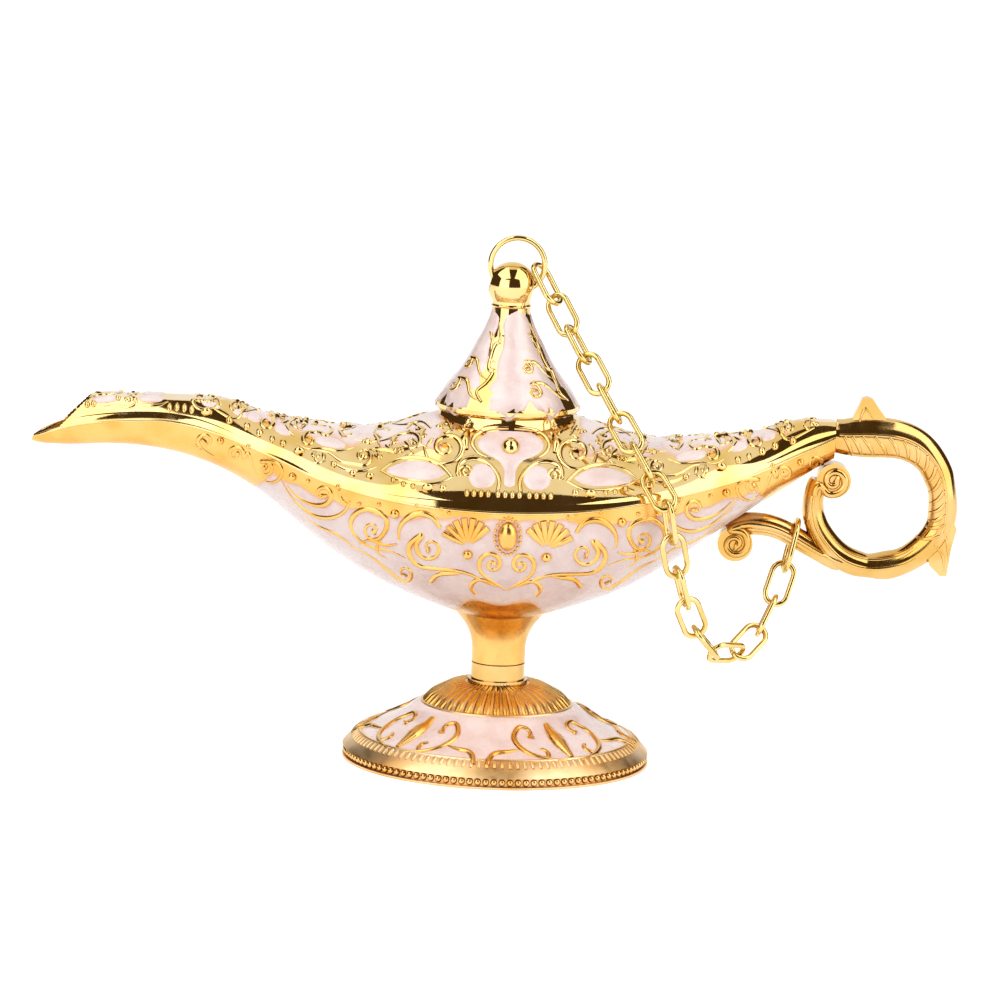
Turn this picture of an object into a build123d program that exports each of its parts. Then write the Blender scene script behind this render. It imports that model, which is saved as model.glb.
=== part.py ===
from build123d import *
import math
import os

os.makedirs("parts", exist_ok=True)

# A genie oil lamp. The origin is the centre of the foot's resting face, +X runs towards the
# handle, -Y towards the viewer and +Z up. Lengths are millimetres.

# Body casting
SPOUT_REACH = 102.1
TAIL_REACH = 70.7
HALF_BEAM = 31.0
KEEL_Z = 31.0
HULL_RISE = 48.0
SHELL_WALL = 1.5
SEAM_LIFT = 0.3
MOUTH_FOOT_SHARE = 0.942
MOUTH_SLANT = 46.0
OVERRUN = 1.0

# Collar and lid seat
COLLAR_RADIUS = 15.2
COLLAR_BORE_RADIUS = 13.2
COLLAR_TOP_Z = 76.8
COLLAR_SUNK = 8.2

# Stem, ferrule and foot
STEM_RADIUS = 5.83
FLARE_RADIUS = 11.5
STEM_STRAIGHT = 5.4
FERRULE_HEIGHT = 4.4
FERRULE_LIP = 0.7
FERRULE_LIP_HEIGHT = 0.9
FOOT_RADIUS = 33.2
FOOT_HEIGHT = 16.9
FOOT_WALL = 1.8
FOOT_BOSS_RADIUS = 6.0
FOOT_BOSS_DROP = 6.0
FOOT_EDGE_HEIGHT = 0.5
BEAD_GROOVE_DEPTH = 0.8
BEAD_GROOVE_HEIGHT = 1.9

# Screw that holds the foot
SCREW_RADIUS = 2.0
SCREW_HEAD_RADIUS = 3.7
SCREW_HEAD_HEIGHT = 2.6
SCREW_LENGTH = 19.0
SCREW_SLOT_WIDTH = 1.0
SCREW_SLOT_DEPTH = 1.2
SCREW_FIT = 0.05
WASHER_RADIUS = 4.8
WASHER_THICKNESS = 0.8
WASHER_PLAY = 0.2

# Lid
LID_RIM_RADIUS = 15.4
LID_RIM_HEIGHT = 1.8
LID_WALL = 1.6
LID_FIT = 0.3
SPIGOT_DEPTH = 5.0
LID_CONE_HEIGHT = 20.4
LID_NECK_RADIUS = 4.1
LID_NECK_BEAD = 0.35
BALL_RADIUS = 5.2
BALL_HOLE_RADIUS = 2.45

# Finial ring
RING_WIRE_RADIUS = 0.6
RING_RADIUS = 5.8
RING_LIFT = 4.7
RING_TILT = 13.5
RING_HANG_ANGLE = 12.0
RING_SLACK = 0.6

# Handle
HANDLE_DEPTH = 6.6
BRANCH_DEPTH = 4.2
HANDLE_LENGTH = 27.0
HANDLE_HEIGHT = 39.3
HANDLE_BASE_Z = 42.3
SCROLL_RADIUS = 3.7
SCROLL_DEPTH = 5.6
CURL_RADIUS = 3.8
CURL_DEPTH = 4.9
THORN_HEIGHT = 4.4
THORN_DEPTH = 3.0
TENON_RADIUS = 2.4
TENON_LENGTH = 6.0
TENON_FIT = 0.05

# Chain
WIRE_RADIUS = 0.6
LINK_PITCH = 7.6
LINK_INNER_WIDTH = 3.6
HOOK_PITCH = 9.7
HOOK_INNER_WIDTH = 6.2
HOOK_LIFT = 0.3
LINK_PLAY = 0.55
LOWER_LEG_COUNT = 9
RIM_STANDOFF = 6.4
RIM_DROP = 2.4
RIM_TWIST = -40.0
RIM_PLACE_SHARE = 0.5
TAUT_SHARE = 0.9997

# Places along the body, from the spout's tip to the tail, chosen by hand. Each row is the
# place as a share of the reach on its side, then half beam, crest, seam and keel as shares.
STATION_SHARES = (
    (-1.000, 0.060, 0.780, 0.755, 0.731),
    (-0.982, 0.112, 0.829, 0.777, 0.724),
    (-0.960, 0.150, 0.871, 0.797, 0.722),
    (-0.930, 0.180, 0.915, 0.820, 0.722),
    (-0.882, 0.203, 0.955, 0.845, 0.727),
    (-0.803, 0.213, 0.985, 0.862, 0.733),
    (-0.705, 0.226, 0.993, 0.866, 0.710),
    (-0.607, 0.277, 0.965, 0.825, 0.648),
    (-0.509, 0.419, 0.896, 0.764, 0.535),
    (-0.411, 0.629, 0.862, 0.695, 0.373),
    (-0.313, 0.806, 0.848, 0.646, 0.231),
    (-0.235, 0.906, 0.869, 0.621, 0.146),
    (-0.176, 0.955, 0.912, 0.608, 0.095),
    (-0.108, 0.984, 0.946, 0.598, 0.046),
    (0.000, 1.000, 0.958, 0.592, 0.000),
    (0.156, 0.984, 0.946, 0.598, 0.046),
    (0.255, 0.955, 0.912, 0.608, 0.095),
    (0.339, 0.906, 0.875, 0.622, 0.144),
    (0.453, 0.806, 0.842, 0.648, 0.231),
    (0.594, 0.629, 0.862, 0.686, 0.375),
    (0.735, 0.419, 0.885, 0.733, 0.525),
    (0.849, 0.290, 0.938, 0.798, 0.638),
    (0.934, 0.206, 0.965, 0.850, 0.725),
    (1.000, 0.150, 0.962, 0.893, 0.783),
)
# Half outlines of a cross-section from the seam to the middle, as shares of beam and height.
BELLY_TOP_SHARES = ((1.0, 0.0), (0.985, 0.10), (0.92, 0.22), (0.72, 0.50), (0.49, 0.80), (0.22, 0.96))
SPOUT_TOP_SHARES = ((1.0, 0.0), (0.990, 0.18), (0.93, 0.40), (0.75, 0.68), (0.49, 0.88), (0.22, 0.98))
BOTTOM_SHARES = ((1.0, 0.0), (0.960, 0.26), (0.83, 0.56), (0.60, 0.80), (0.30, 0.955))

# Outline of the foot's top from its rim to the dome, as shares of foot radius and height.
SKIRT_SHARES = ((0.979, 0.190), (0.901, 0.320), (0.747, 0.450), (0.614, 0.580), (0.530, 0.710))
DOME_SHARES = ((0.473, 0.745), (0.429, 0.840), (0.310, 0.970), (0.211, 1.0))
# Outline of the lid's cone above its rim, as shares of rim radius and cone height.
CONE_SHARES = (
    (0.974, 0.0),
    (0.831, 0.167),
    (0.701, 0.275),
    (0.617, 0.377),
    (0.532, 0.485),
    (0.461, 0.593),
    (0.377, 0.699),
    (0.325, 0.804),
    (0.276, 0.912),
)

# Middle line of the handle's loop from the hull's tail round to the scroll, as shares of the
# handle's length and height, with half the band's thickness as a share of the loop's depth.
LOOP_SHARES = (
    (0.0, 0.797, 1.12),
    (0.10, 0.792, 1.22),
    (0.21, 0.794, 1.34),
    (0.37, 0.794, 1.34),
    (0.54, 0.781, 1.26),
    (0.69, 0.733, 1.14),
    (0.80, 0.651, 1.02),
    (0.862, 0.555, 0.96),
    (0.888, 0.450, 0.95),
    (0.885, 0.361, 0.95),
    (0.848, 0.275, 0.94),
    (0.711, 0.165, 0.92),
    (0.559, 0.104, 0.90),
    (0.381, 0.079, 0.88),
    (0.222, 0.089, 0.86),
    (0.067, 0.140, 0.84),
    (-0.063, 0.237, 0.80),
    (-0.122, 0.313, 0.76),
    (-0.148, 0.397, 0.72),
    (-0.142, 0.468, 0.68),
    (-0.105, 0.545, 0.62),
)
# Middle line of the lower branch from the loop to its curl, in the same shares.
BRANCH_SHARES = (
    (0.10, 0.100, 0.70),
    (-0.04, 0.136, 0.70),
    (-0.18, 0.186, 0.70),
    (-0.315, 0.237, 0.71),
    (-0.450, 0.276, 0.73),
    (-0.590, 0.290, 0.75),
    (-0.720, 0.285, 0.73),
    (-0.820, 0.250, 0.66),
)
HOOK_INDEX = 3
SCROLL_PLACE_SHARES = (0.005, 0.553)
CURL_PLACE_SHARES = (-0.760, 0.182)
# Thorn on top of the loop, as shares of the handle's length and the thorn's height.
THORN_SHARES = (
    (0.135, 0.0),
    (0.180, 0.52),
    (0.203, 0.90),
    (0.247, 1.0),
    (0.290, 0.90),
    (0.335, 0.52),
    (0.40, 0.0),
)
# Fish-tail tip at the loop's right, as shares of the handle's length and height.
TAIL_FIN_SHARES = (
    (0.93, 0.40),
    (1.005, 0.31),
    (0.965, 0.19),
    (0.94, 0.045),
    (0.885, 0.045),
    (0.80, 0.10),
    (0.78, 0.17),
    (0.84, 0.27),
)
FIN_DEPTH_SHARE = 0.7


def revolve_outline(points):
    """Turn a closed (radius, height) outline about the Z axis."""
    outline = Polyline([(r, 0, z) for r, z in points], close=True)
    return revolve(make_face(outline), axis=Axis.Z)


def cylinder_z(radius, low, high):
    """Upright round bar between two heights."""
    return Pos(0, 0, (low + high) / 2) * Cylinder(radius, high - low)


def scaled(shares, across, up):
    """Pairs of shares turned into lengths."""
    return [(a * across, b * up) for a, b in shares]


def station_sizes(row):
    """Place, half beam, crest, seam and keel of one station in real lengths."""
    along, beam, crest, seam, keel = row
    reach = SPOUT_REACH if along < 0 else TAIL_REACH
    heights = [KEEL_Z + share * HULL_RISE for share in (crest, seam, keel)]
    return (along * reach, beam * HALF_BEAM, *heights)


def blended_top(beam):
    """Top outline shares: a round roof at the spout, a sloping shoulder at the belly."""
    belly = (beam / HALF_BEAM) ** 0.5
    pairs = zip(SPOUT_TOP_SHARES, BELLY_TOP_SHARES)
    return [(s[0] + belly * (b[0] - s[0]), s[1] + belly * (b[1] - s[1])) for s, b in pairs]


def section_wire(x, beam, crest, seam, keel):
    """Closed cross-section of the hull at x, with corners at the seam."""
    top = [(y * beam, seam + z * (crest - seam)) for y, z in blended_top(beam)]
    low = [(y * beam, seam - z * (seam - keel)) for y, z in BOTTOM_SHARES]
    upper = top + [(0, crest)] + [(-y, z) for y, z in reversed(top)]
    lower = [(-y, z) for y, z in low] + [(0, keel)] + list(reversed(low))
    arcs = []
    for side, shares in ((upper, BELLY_TOP_SHARES), (lower, BOTTOM_SHARES)):
        points = [Vector(x, y, z) for y, z in side]
        arcs.append(Edge.make_spline(points, parameters=even_parameters(shares)))
    return Wire(arcs)


def even_parameters(shares):
    """One set of curve parameters for every section, so that the skin between them stays simple."""
    half = list(shares) + [(0.0, 1.0)]
    steps = [math.dist(a, b) for a, b in zip(half, half[1:])]
    steps += list(reversed(steps))
    places = [0.0]
    for step in steps:
        places.append(places[-1] + step / sum(steps))
    return places


def hull_solid(wall):
    """Solid inside the hull's skin, set in by a wall; the cavity stops short of both ends."""
    rows = STATION_SHARES if wall == 0 else STATION_SHARES[1:-1]
    sections = []
    for row in rows:
        x, beam, crest, seam, keel = station_sizes(row)
        sections.append(section_wire(x, beam - wall, crest - wall, seam, keel + wall))
    return Solid.make_loft(sections)


def above_seam():
    """Everything over the seam between the two shells, just above the hull's widest line."""
    line = [(station_sizes(row)[0], station_sizes(row)[3] + SEAM_LIFT) for row in STATION_SHARES]
    first, last = line[0], line[-1]
    roof = COLLAR_TOP_Z + HULL_RISE
    seam = Spline([(x, 0, z) for x, z in line])
    frame = Polyline(
        (last[0], 0, last[1]),
        (last[0] + HALF_BEAM, 0, last[1]),
        (last[0] + HALF_BEAM, 0, roof),
        (first[0] - HALF_BEAM, 0, roof),
        (first[0] - HALF_BEAM, 0, first[1]),
        (first[0], 0, first[1]),
    )
    return extrude(make_face(seam + frame), HALF_BEAM * 2, dir=(0, 1, 0), both=True)


def seam_height(x):
    """Height of the seam at a place along the body, by straight steps between stations."""
    line = [(station_sizes(row)[0], station_sizes(row)[3]) for row in STATION_SHARES]
    for (x0, z0), (x1, z1) in zip(line, line[1:]):
        if x <= x1:
            return z0 + (z1 - z0) * (x - x0) / (x1 - x0)
    return line[-1][1]


def half_beam(x):
    """Half width of the body at a place along it, by straight steps between stations."""
    line = [(station_sizes(row)[0], station_sizes(row)[1]) for row in STATION_SHARES]
    for (x0, w0), (x1, w1) in zip(line, line[1:]):
        if x <= x1:
            return w0 + (w1 - w0) * (x - x0) / (x1 - x0)
    return line[-1][1]


def mouth_cutter():
    """Wedge that opens the spout: everything ahead of a slanted plane."""
    foot_x = -SPOUT_REACH * MOUTH_FOOT_SHARE
    foot_z = seam_height(foot_x)
    reach = HULL_RISE
    lean = math.radians(MOUTH_SLANT)
    corners = [
        (foot_x - reach * math.cos(lean), 0, foot_z - reach * math.sin(lean)),
        (foot_x + reach * math.cos(lean), 0, foot_z + reach * math.sin(lean)),
        (foot_x - reach, 0, foot_z + reach),
    ]
    return extrude(make_face(Polyline(corners, close=True)), HALF_BEAM, dir=(0, 1, 0), both=True)


def make_body():
    """Upper and lower shell and the whole outer hull."""
    outer = hull_solid(0)
    cavity = hull_solid(SHELL_WALL)
    over = above_seam()
    tail_z = seam_height(TAIL_REACH)
    tenon_hole = Pos(TAIL_REACH - TENON_LENGTH / 2, 0, tail_z) * Rot(0, 90, 0) * Cylinder(
        TENON_RADIUS + TENON_FIT, TENON_LENGTH + 2 * OVERRUN)
    collar = cylinder_z(COLLAR_RADIUS, KEEL_Z + HULL_RISE - COLLAR_SUNK, COLLAR_TOP_Z)
    bore = cylinder_z(COLLAR_BORE_RADIUS, seam_height(0), COLLAR_TOP_Z + HULL_RISE)
    shoulder_top = cylinder_z(FOOT_RADIUS, COLLAR_TOP_Z, COLLAR_TOP_Z + HULL_RISE)
    upper = (outer & over) - cavity - mouth_cutter() + collar - bore - shoulder_top - tenon_hole
    lower = (outer - over) - cavity - tenon_hole + make_stem() - screw_hole()
    return upper, lower, outer


def make_stem():
    """Stem under the bowl, flaring into the hull's bottom."""
    low = FOOT_HEIGHT + FERRULE_HEIGHT
    straight = low + STEM_STRAIGHT
    cap = KEEL_Z + SHELL_WALL
    flare = Spline(
        (STEM_RADIUS, 0, straight),
        (FLARE_RADIUS, 0, cap),
        tangents=((0, 0, 1), (1, 0, 0.45)),
    )
    sides = Polyline(
        (FLARE_RADIUS, 0, cap),
        (0, 0, cap),
        (0, 0, low),
        (STEM_RADIUS, 0, low),
        (STEM_RADIUS, 0, straight),
    )
    return revolve(make_face(flare + sides), axis=Axis.Z)


def screw_seat():
    """Height where the foot's washer rests against the boss."""
    return FOOT_HEIGHT - FOOT_BOSS_DROP


def screw_hole():
    """Tapped hole up the middle of the stem."""
    low = screw_seat() - WASHER_THICKNESS
    return cylinder_z(SCREW_RADIUS + SCREW_FIT, low, low + SCREW_LENGTH + OVERRUN)


def make_ferrule():
    """Turned ring between foot and stem, with a lip at its foot."""
    low = FOOT_HEIGHT
    top = low + FERRULE_HEIGHT
    bore = SCREW_RADIUS + SCREW_FIT
    return revolve_outline([
        (bore, low),
        (STEM_RADIUS + FERRULE_LIP, low),
        (STEM_RADIUS + FERRULE_LIP, low + FERRULE_LIP_HEIGHT),
        (STEM_RADIUS, low + FERRULE_LIP_HEIGHT),
        (STEM_RADIUS, top),
        (bore, top),
    ])


def make_foot():
    """Round foot: beaded edge, enamelled skirt, dome and a boss for the screw."""
    skirt = scaled(SKIRT_SHARES, FOOT_RADIUS, FOOT_HEIGHT)
    dome = scaled(DOME_SHARES, FOOT_RADIUS, FOOT_HEIGHT)
    groove_low = FOOT_EDGE_HEIGHT
    groove_top = groove_low + BEAD_GROOVE_HEIGHT
    in_radius = FOOT_RADIUS - FOOT_WALL
    groove_radius = FOOT_RADIUS - BEAD_GROOVE_DEPTH
    inner = [(r - FOOT_WALL / 2, z - FOOT_WALL) for r, z in skirt + dome[1:3]]
    seat = screw_seat()
    boss = FOOT_BOSS_RADIUS
    outline = [
        (in_radius, 0),
        (FOOT_RADIUS, 0),
        (FOOT_RADIUS, groove_low),
        (groove_radius, groove_low),
        (groove_radius, groove_top),
        (FOOT_RADIUS, groove_top),
        *skirt,
        *dome,
        (SCREW_RADIUS + SCREW_FIT, FOOT_HEIGHT),
        (SCREW_RADIUS + SCREW_FIT, seat),
        (boss, seat),
        (boss, inner[-1][1]),
        *reversed(inner),
    ]
    return revolve_outline(outline)


def make_washer():
    """Flat washer under the screw's head."""
    top = screw_seat()
    plate = cylinder_z(WASHER_RADIUS, top - WASHER_THICKNESS, top)
    return plate - cylinder_z(SCREW_RADIUS + WASHER_PLAY, top - WASHER_THICKNESS - OVERRUN, top + OVERRUN)


def make_screw():
    """Slotted screw that pulls foot and ferrule against the stem."""
    seat = screw_seat() - WASHER_THICKNESS
    head = cylinder_z(SCREW_HEAD_RADIUS, seat - SCREW_HEAD_HEIGHT, seat)
    head = fillet(head.edges().sort_by(Axis.Z)[0], SCREW_HEAD_HEIGHT / 3)
    slot = Pos(0, 0, seat - SCREW_HEAD_HEIGHT + SCREW_SLOT_DEPTH / 2) * Box(
        SCREW_HEAD_RADIUS * 2, SCREW_SLOT_WIDTH, SCREW_SLOT_DEPTH)
    return head - slot + cylinder_z(SCREW_RADIUS, seat, seat + SCREW_LENGTH)


def ball_centre_z():
    """Height of the ball on the lid."""
    cone_top = COLLAR_TOP_Z + LID_RIM_HEIGHT + LID_CONE_HEIGHT
    return cone_top + math.sqrt(BALL_RADIUS ** 2 - LID_NECK_RADIUS ** 2) + BALL_RADIUS / 4


def make_lid():
    """Hollow cone with rim bead, spigot and a cross-drilled ball."""
    low = COLLAR_TOP_Z
    cone_low = low + LID_RIM_HEIGHT
    cone_top = cone_low + LID_CONE_HEIGHT
    cone = [(r, cone_low + z) for r, z in scaled(CONE_SHARES, LID_RIM_RADIUS, LID_CONE_HEIGHT)]
    spigot = COLLAR_BORE_RADIUS - LID_FIT
    inner = [(r - LID_WALL, z - LID_WALL) for r, z in cone[1:6]]
    rim_mid = (low + cone_low) / 2
    slack = LID_RIM_HEIGHT / 4
    outline = [
        (spigot, low - SPIGOT_DEPTH),
        (spigot, low),
        (LID_RIM_RADIUS - slack, low),
        (LID_RIM_RADIUS, rim_mid - slack),
        (LID_RIM_RADIUS, rim_mid + slack),
        *cone,
        (LID_NECK_RADIUS, cone_top),
        (LID_NECK_RADIUS + LID_NECK_BEAD, cone_top + LID_NECK_BEAD),
        (LID_NECK_RADIUS, cone_top + 2 * LID_NECK_BEAD),
        (LID_NECK_RADIUS, ball_centre_z()),
        (0, ball_centre_z()),
        (0, inner[-1][1]),
        *reversed(inner),
        (spigot - LID_WALL, inner[0][1] - LID_WALL),
        (spigot - LID_WALL, low - SPIGOT_DEPTH),
    ]
    lid = revolve_outline(outline) + Pos(0, 0, ball_centre_z()) * Sphere(BALL_RADIUS)
    hole = Pos(0, 0, ball_centre_z()) * Rot(0, 90 + RING_TILT, 0) * Cylinder(
        BALL_HOLE_RADIUS, 2 * BALL_RADIUS + OVERRUN)
    return lid - hole


def ring_centre():
    """Centre of the ring that stands in the ball's hole, tilted towards the handle."""
    tilt = math.radians(RING_TILT)
    return Vector(RING_LIFT * math.sin(tilt), 0, ball_centre_z() + RING_LIFT * math.cos(tilt))


def make_ring():
    """Wire ring through the ball, standing in the XZ plane."""
    return Pos(*ring_centre()) * Rot(90, 0, 0) * Torus(RING_RADIUS, RING_WIRE_RADIUS)


def handle_point(along, up):
    """A place in the handle's own shares, as lengths."""
    return Vector(TAIL_REACH + along * HANDLE_LENGTH, 0, HANDLE_BASE_Z + up * HANDLE_HEIGHT)


def band(rows, depth):
    """Tapering bar with oval sections square to a middle line in the XZ plane."""
    middle = [handle_point(a, u) for a, u, _ in rows]
    half_depth = depth / 2
    sections = []
    for i, (_, _, thick) in enumerate(rows):
        before = middle[max(i - 1, 0)]
        after = middle[min(i + 1, len(rows) - 1)]
        along = (after - before).normalized()
        plane = Plane(origin=middle[i], x_dir=(0, 1, 0), z_dir=along)
        across = thick * HANDLE_DEPTH / 2
        sections.append(plane * Ellipse(half_depth, across))
    return Solid.make_loft([section.wire() for section in sections])


def disc_y(place, radius, depth):
    """Round boss across the handle's plane."""
    return Pos(*place) * Rot(90, 0, 0) * Cylinder(radius, depth)


def plate_y(points, depth):
    """Flat plate of a closed outline in the XZ plane, spread evenly across it."""
    return extrude(make_face(Polyline(points, close=True)), depth / 2, dir=(0, 1, 0), both=True)


def make_handle(hull):
    """Loop grip with scroll, thorn, fish-tail and a branch with its curl."""
    loop = band(LOOP_SHARES, HANDLE_DEPTH)
    branch = band(BRANCH_SHARES, BRANCH_DEPTH)
    scroll = disc_y(handle_point(*SCROLL_PLACE_SHARES), SCROLL_RADIUS, SCROLL_DEPTH)
    curl = disc_y(handle_point(*CURL_PLACE_SHARES), CURL_RADIUS, CURL_DEPTH)
    crown = handle_point(*LOOP_SHARES[2][:2]).Z
    band_top = crown + LOOP_SHARES[2][2] * HANDLE_DEPTH / 2
    rise = [(TAIL_REACH + a * HANDLE_LENGTH, 0, band_top + u * THORN_HEIGHT) for a, u in THORN_SHARES]
    thorn = plate_y([(rise[0][0], 0, crown), *rise, (rise[-1][0], 0, crown)], THORN_DEPTH)
    fin_points = [tuple(handle_point(a, u)) for a, u in TAIL_FIN_SHARES]
    fin = plate_y(fin_points, HANDLE_DEPTH * FIN_DEPTH_SHARE)
    casting = loop + branch + scroll + curl - hull
    tenon_place = Pos(TAIL_REACH - (TENON_LENGTH - OVERRUN) / 2, 0, seam_height(TAIL_REACH))
    tenon = tenon_place * Rot(0, 90, 0) * Cylinder(TENON_RADIUS, TENON_LENGTH + OVERRUN)
    return casting + thorn + fin + tenon


def hang_leg(start, end, lengths):
    """Points of a slack chain of rigid links between two places, each link as long as given.

    In a hanging chain the sideways pull is the same in every link and the upward pull grows
    by one link's weight from link to link, which gives each link's slope.
    """
    span = math.hypot(end.X - start.X, end.Y - start.Y)
    rise = end.Z - start.Z
    heading = Vector(end.X - start.X, end.Y - start.Y, 0).normalized()

    def reach(pull, lift):
        """Span and rise of the whole chain for one sideways pull and first upward pull."""
        runs = [(pull, lift + k) for k in range(len(lengths))]
        sizes = [length / math.hypot(*run) for length, run in zip(lengths, runs)]
        return (sum(s * run[0] for s, run in zip(sizes, runs)),
                sum(s * run[1] for s, run in zip(sizes, runs)))

    def lift_for(pull):
        """Upward pull at the first link that ends the chain at the right height."""
        low, high = -len(lengths) * 40.0, len(lengths) * 40.0
        for _ in range(80):
            middle = (low + high) / 2
            if reach(pull, middle)[1] < rise:
                low = middle
            else:
                high = middle
        return (low + high) / 2

    low, high = 0.001, len(lengths) * 40.0
    for _ in range(80):
        pull = (low + high) / 2
        if reach(pull, lift_for(pull))[0] < span:
            low = pull
        else:
            high = pull
    lift = lift_for(pull)
    points = [start]
    for k, length in enumerate(lengths):
        slope = math.atan2(lift + k, pull)
        step = heading * math.cos(slope) + Vector(0, 0, math.sin(slope))
        points.append(points[-1] + step * length)
    return points


def chain_points():
    """Contact points of the chain: ring, over the rim, down and up to the branch."""
    hang = math.radians(RING_HANG_ANGLE)
    inset = RING_RADIUS - RING_WIRE_RADIUS - LINK_PLAY / 2
    first = ring_centre() + Vector(math.cos(hang), 0, -math.sin(hang)) * inset
    rim_x = TAIL_REACH * RIM_PLACE_SHARE
    rim = Vector(rim_x, -half_beam(rim_x) - RIM_STANDOFF, seam_height(rim_x) - RIM_DROP)
    count = upper_leg_links(first, rim)
    turn = first + (rim - first).normalized() * (count * LINK_PITCH * TAUT_SHARE)
    upper = hang_leg(first, turn, [LINK_PITCH] * count)
    lower = hang_leg(turn, hook_point(), [LINK_PITCH] * LOWER_LEG_COUNT + [HOOK_PITCH])
    return upper + lower[1:]


def upper_leg_links(first, rim):
    """Links between the ring and the body's rim."""
    return math.ceil((rim - first).length / LINK_PITCH - TAUT_SHARE / 4)


def hook_point():
    """Place on top of the branch where the last link hangs."""
    along, up, thick = BRANCH_SHARES[HOOK_INDEX]
    run = branch_run()
    outward = Vector(run.Z, 0, -run.X)
    return handle_point(along, up) + outward * (thick * HANDLE_DEPTH / 2 + HOOK_LIFT)


def branch_run():
    """Direction of the branch where the last link hangs, from the loop outwards."""
    before = handle_point(*BRANCH_SHARES[HOOK_INDEX - 1][:2])
    after = handle_point(*BRANCH_SHARES[HOOK_INDEX + 1][:2])
    return (after - before).normalized()


def link_normals(points):
    """Face directions of the links: each stands about square to the one before it."""
    steps = [(b - a).normalized() for a, b in zip(points, points[1:])]
    hang = math.radians(RING_HANG_ANGLE)
    ring_run = Vector(math.sin(hang), 0, math.cos(hang))
    side = ring_run
    free = []
    for step in steps:
        side = (side - step * side.dot(step)).normalized()
        free.append(side)
    goal = branch_run()
    goal = (goal - steps[-1] * goal.dot(steps[-1])).normalized()
    turned = math.degrees(math.atan2(free[-1].cross(goal).dot(steps[-1]), free[-1].dot(goal)))
    count = len(steps)
    spare = (turned - RIM_TWIST - 90 * (count - 1) + 90) % 180 - 90
    lower = LOWER_LEG_COUNT + 1
    upper = count - lower
    normals = []
    for k, step in enumerate(steps):
        twist = 90 * k
        twist += RIM_TWIST * min(k, upper - 1) / (upper - 1)
        twist += spare * max(0, k - upper + 1) / lower
        normals.append(free[k].rotate(Axis((0, 0, 0), step), twist))
    return steps, normals


def make_link(start, end, normal, inner_width):
    """One oval wire link whose contact points are start and end."""
    run = (end - start).normalized()
    half_straight = (end - start).length / 2 + WIRE_RADIUS + LINK_PLAY / 2
    bend = inner_width / 2 + WIRE_RADIUS
    half_straight -= bend
    plane = Plane(origin=(start + end) * 0.5, x_dir=run, z_dir=normal)
    path = plane * SlotCenterToCenter(2 * half_straight, 2 * bend).wire()
    section = Plane(origin=path @ 0, z_dir=path % 0) * Circle(WIRE_RADIUS)
    return sweep(section, path=path)


def main():
    """Build every piece and write it out."""
    upper, lower, outer = make_body()
    parts = {
        "upper_shell": upper,
        "lower_shell": lower,
        "handle": make_handle(outer),
        "ferrule": make_ferrule(),
        "foot": make_foot(),
        "foot_screw": make_screw(),
        "foot_washer": make_washer(),
        "lid": make_lid(),
        "finial_ring": make_ring(),
    }
    points = chain_points()
    steps, normals = link_normals(points)
    for k, normal in enumerate(normals):
        width = HOOK_INNER_WIDTH if k == len(normals) - 1 else LINK_INNER_WIDTH
        start = points[k] - steps[k] * (RING_SLACK if k == 0 else 0)
        parts[f"chain_link_{k + 1:02d}"] = make_link(start, points[k + 1], normal, width)
    for name, shape in parts.items():
        export_step(shape, f"parts/{name}.step")


main()
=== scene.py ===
import logging
import math
from contextlib import contextmanager
from dataclasses import dataclass, field, replace
from enum import Enum
from typing import Callable, Iterable, Iterator, Protocol, Sequence

import bpy
import numpy as np
from bpy.types import Material, Node, NodeSocket, NodeTree, Object as Piece
from mathutils import Matrix, Vector
from mathutils.bvhtree import BVHTree


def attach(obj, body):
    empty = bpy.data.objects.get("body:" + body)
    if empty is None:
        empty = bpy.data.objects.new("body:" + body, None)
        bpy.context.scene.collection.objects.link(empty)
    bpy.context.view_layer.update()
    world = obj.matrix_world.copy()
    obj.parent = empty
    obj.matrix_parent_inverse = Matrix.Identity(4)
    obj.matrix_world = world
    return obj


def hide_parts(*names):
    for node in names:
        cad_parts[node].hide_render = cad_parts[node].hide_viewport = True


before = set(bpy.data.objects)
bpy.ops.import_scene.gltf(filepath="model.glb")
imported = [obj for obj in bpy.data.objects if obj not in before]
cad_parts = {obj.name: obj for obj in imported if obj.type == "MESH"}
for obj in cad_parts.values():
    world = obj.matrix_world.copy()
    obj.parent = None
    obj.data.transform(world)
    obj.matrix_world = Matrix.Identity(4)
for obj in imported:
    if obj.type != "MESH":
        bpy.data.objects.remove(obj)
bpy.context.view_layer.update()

LOG = logging.getLogger("oil_lamp")

# Sizes are in millimetres unless a comment says otherwise; a mesh takes them times MM.
MM = 0.001
# Where lines of sight start, well outside the lamp, and how they fall at the photograph's 9.5 degrees.
FAR = 200.0
VIEW_SLOPE = 0.167
FRONT = -1
BACK = 1

# Drawn lines: distance of their samples, fewest samples, and the curls' points and eye.
SAMPLE_STEP = 0.4
FEWEST_SAMPLES = 4
CURL_POINTS = 9
FEWEST_CURL_POINTS = 5
CURL_EYE_SHARE = 0.14
# Shares of a ridge's length over which it swells from its start and thins to its end.
SWELL_SHARE = 0.35
THIN_SHARE = 0.45

# Cushions: sides and rings of the blank, distance of the outline's samples, and roundness of the crown.
PAD_SIDES = 36
PAD_RINGS = (0.05, 0.11, 0.16, 0.2, 0.2)
PAD_STEP = 0.25
PAD_CROWN = 2.4
# Beads: where the unit ball is cut off below its middle, and how far off the way up is looked for.
BEAD_CUT = 0.45
BEAD_LOOK = 0.05
NO_LENGTH = 1e-9

# Meshes: reach of merging, sharpest angles in degrees that still shade smooth, and turned steps.
MERGE_REACH = 0.002
TURNED_MERGE_REACH = 0.001
CREASE = 35
SHELL_CREASE = 40
TURNED_STEPS = 96
# The shells' wall thins over this length at the spout's tip, down to this share.
THINNING = 16
THINNEST_SHARE = 0.12

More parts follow.
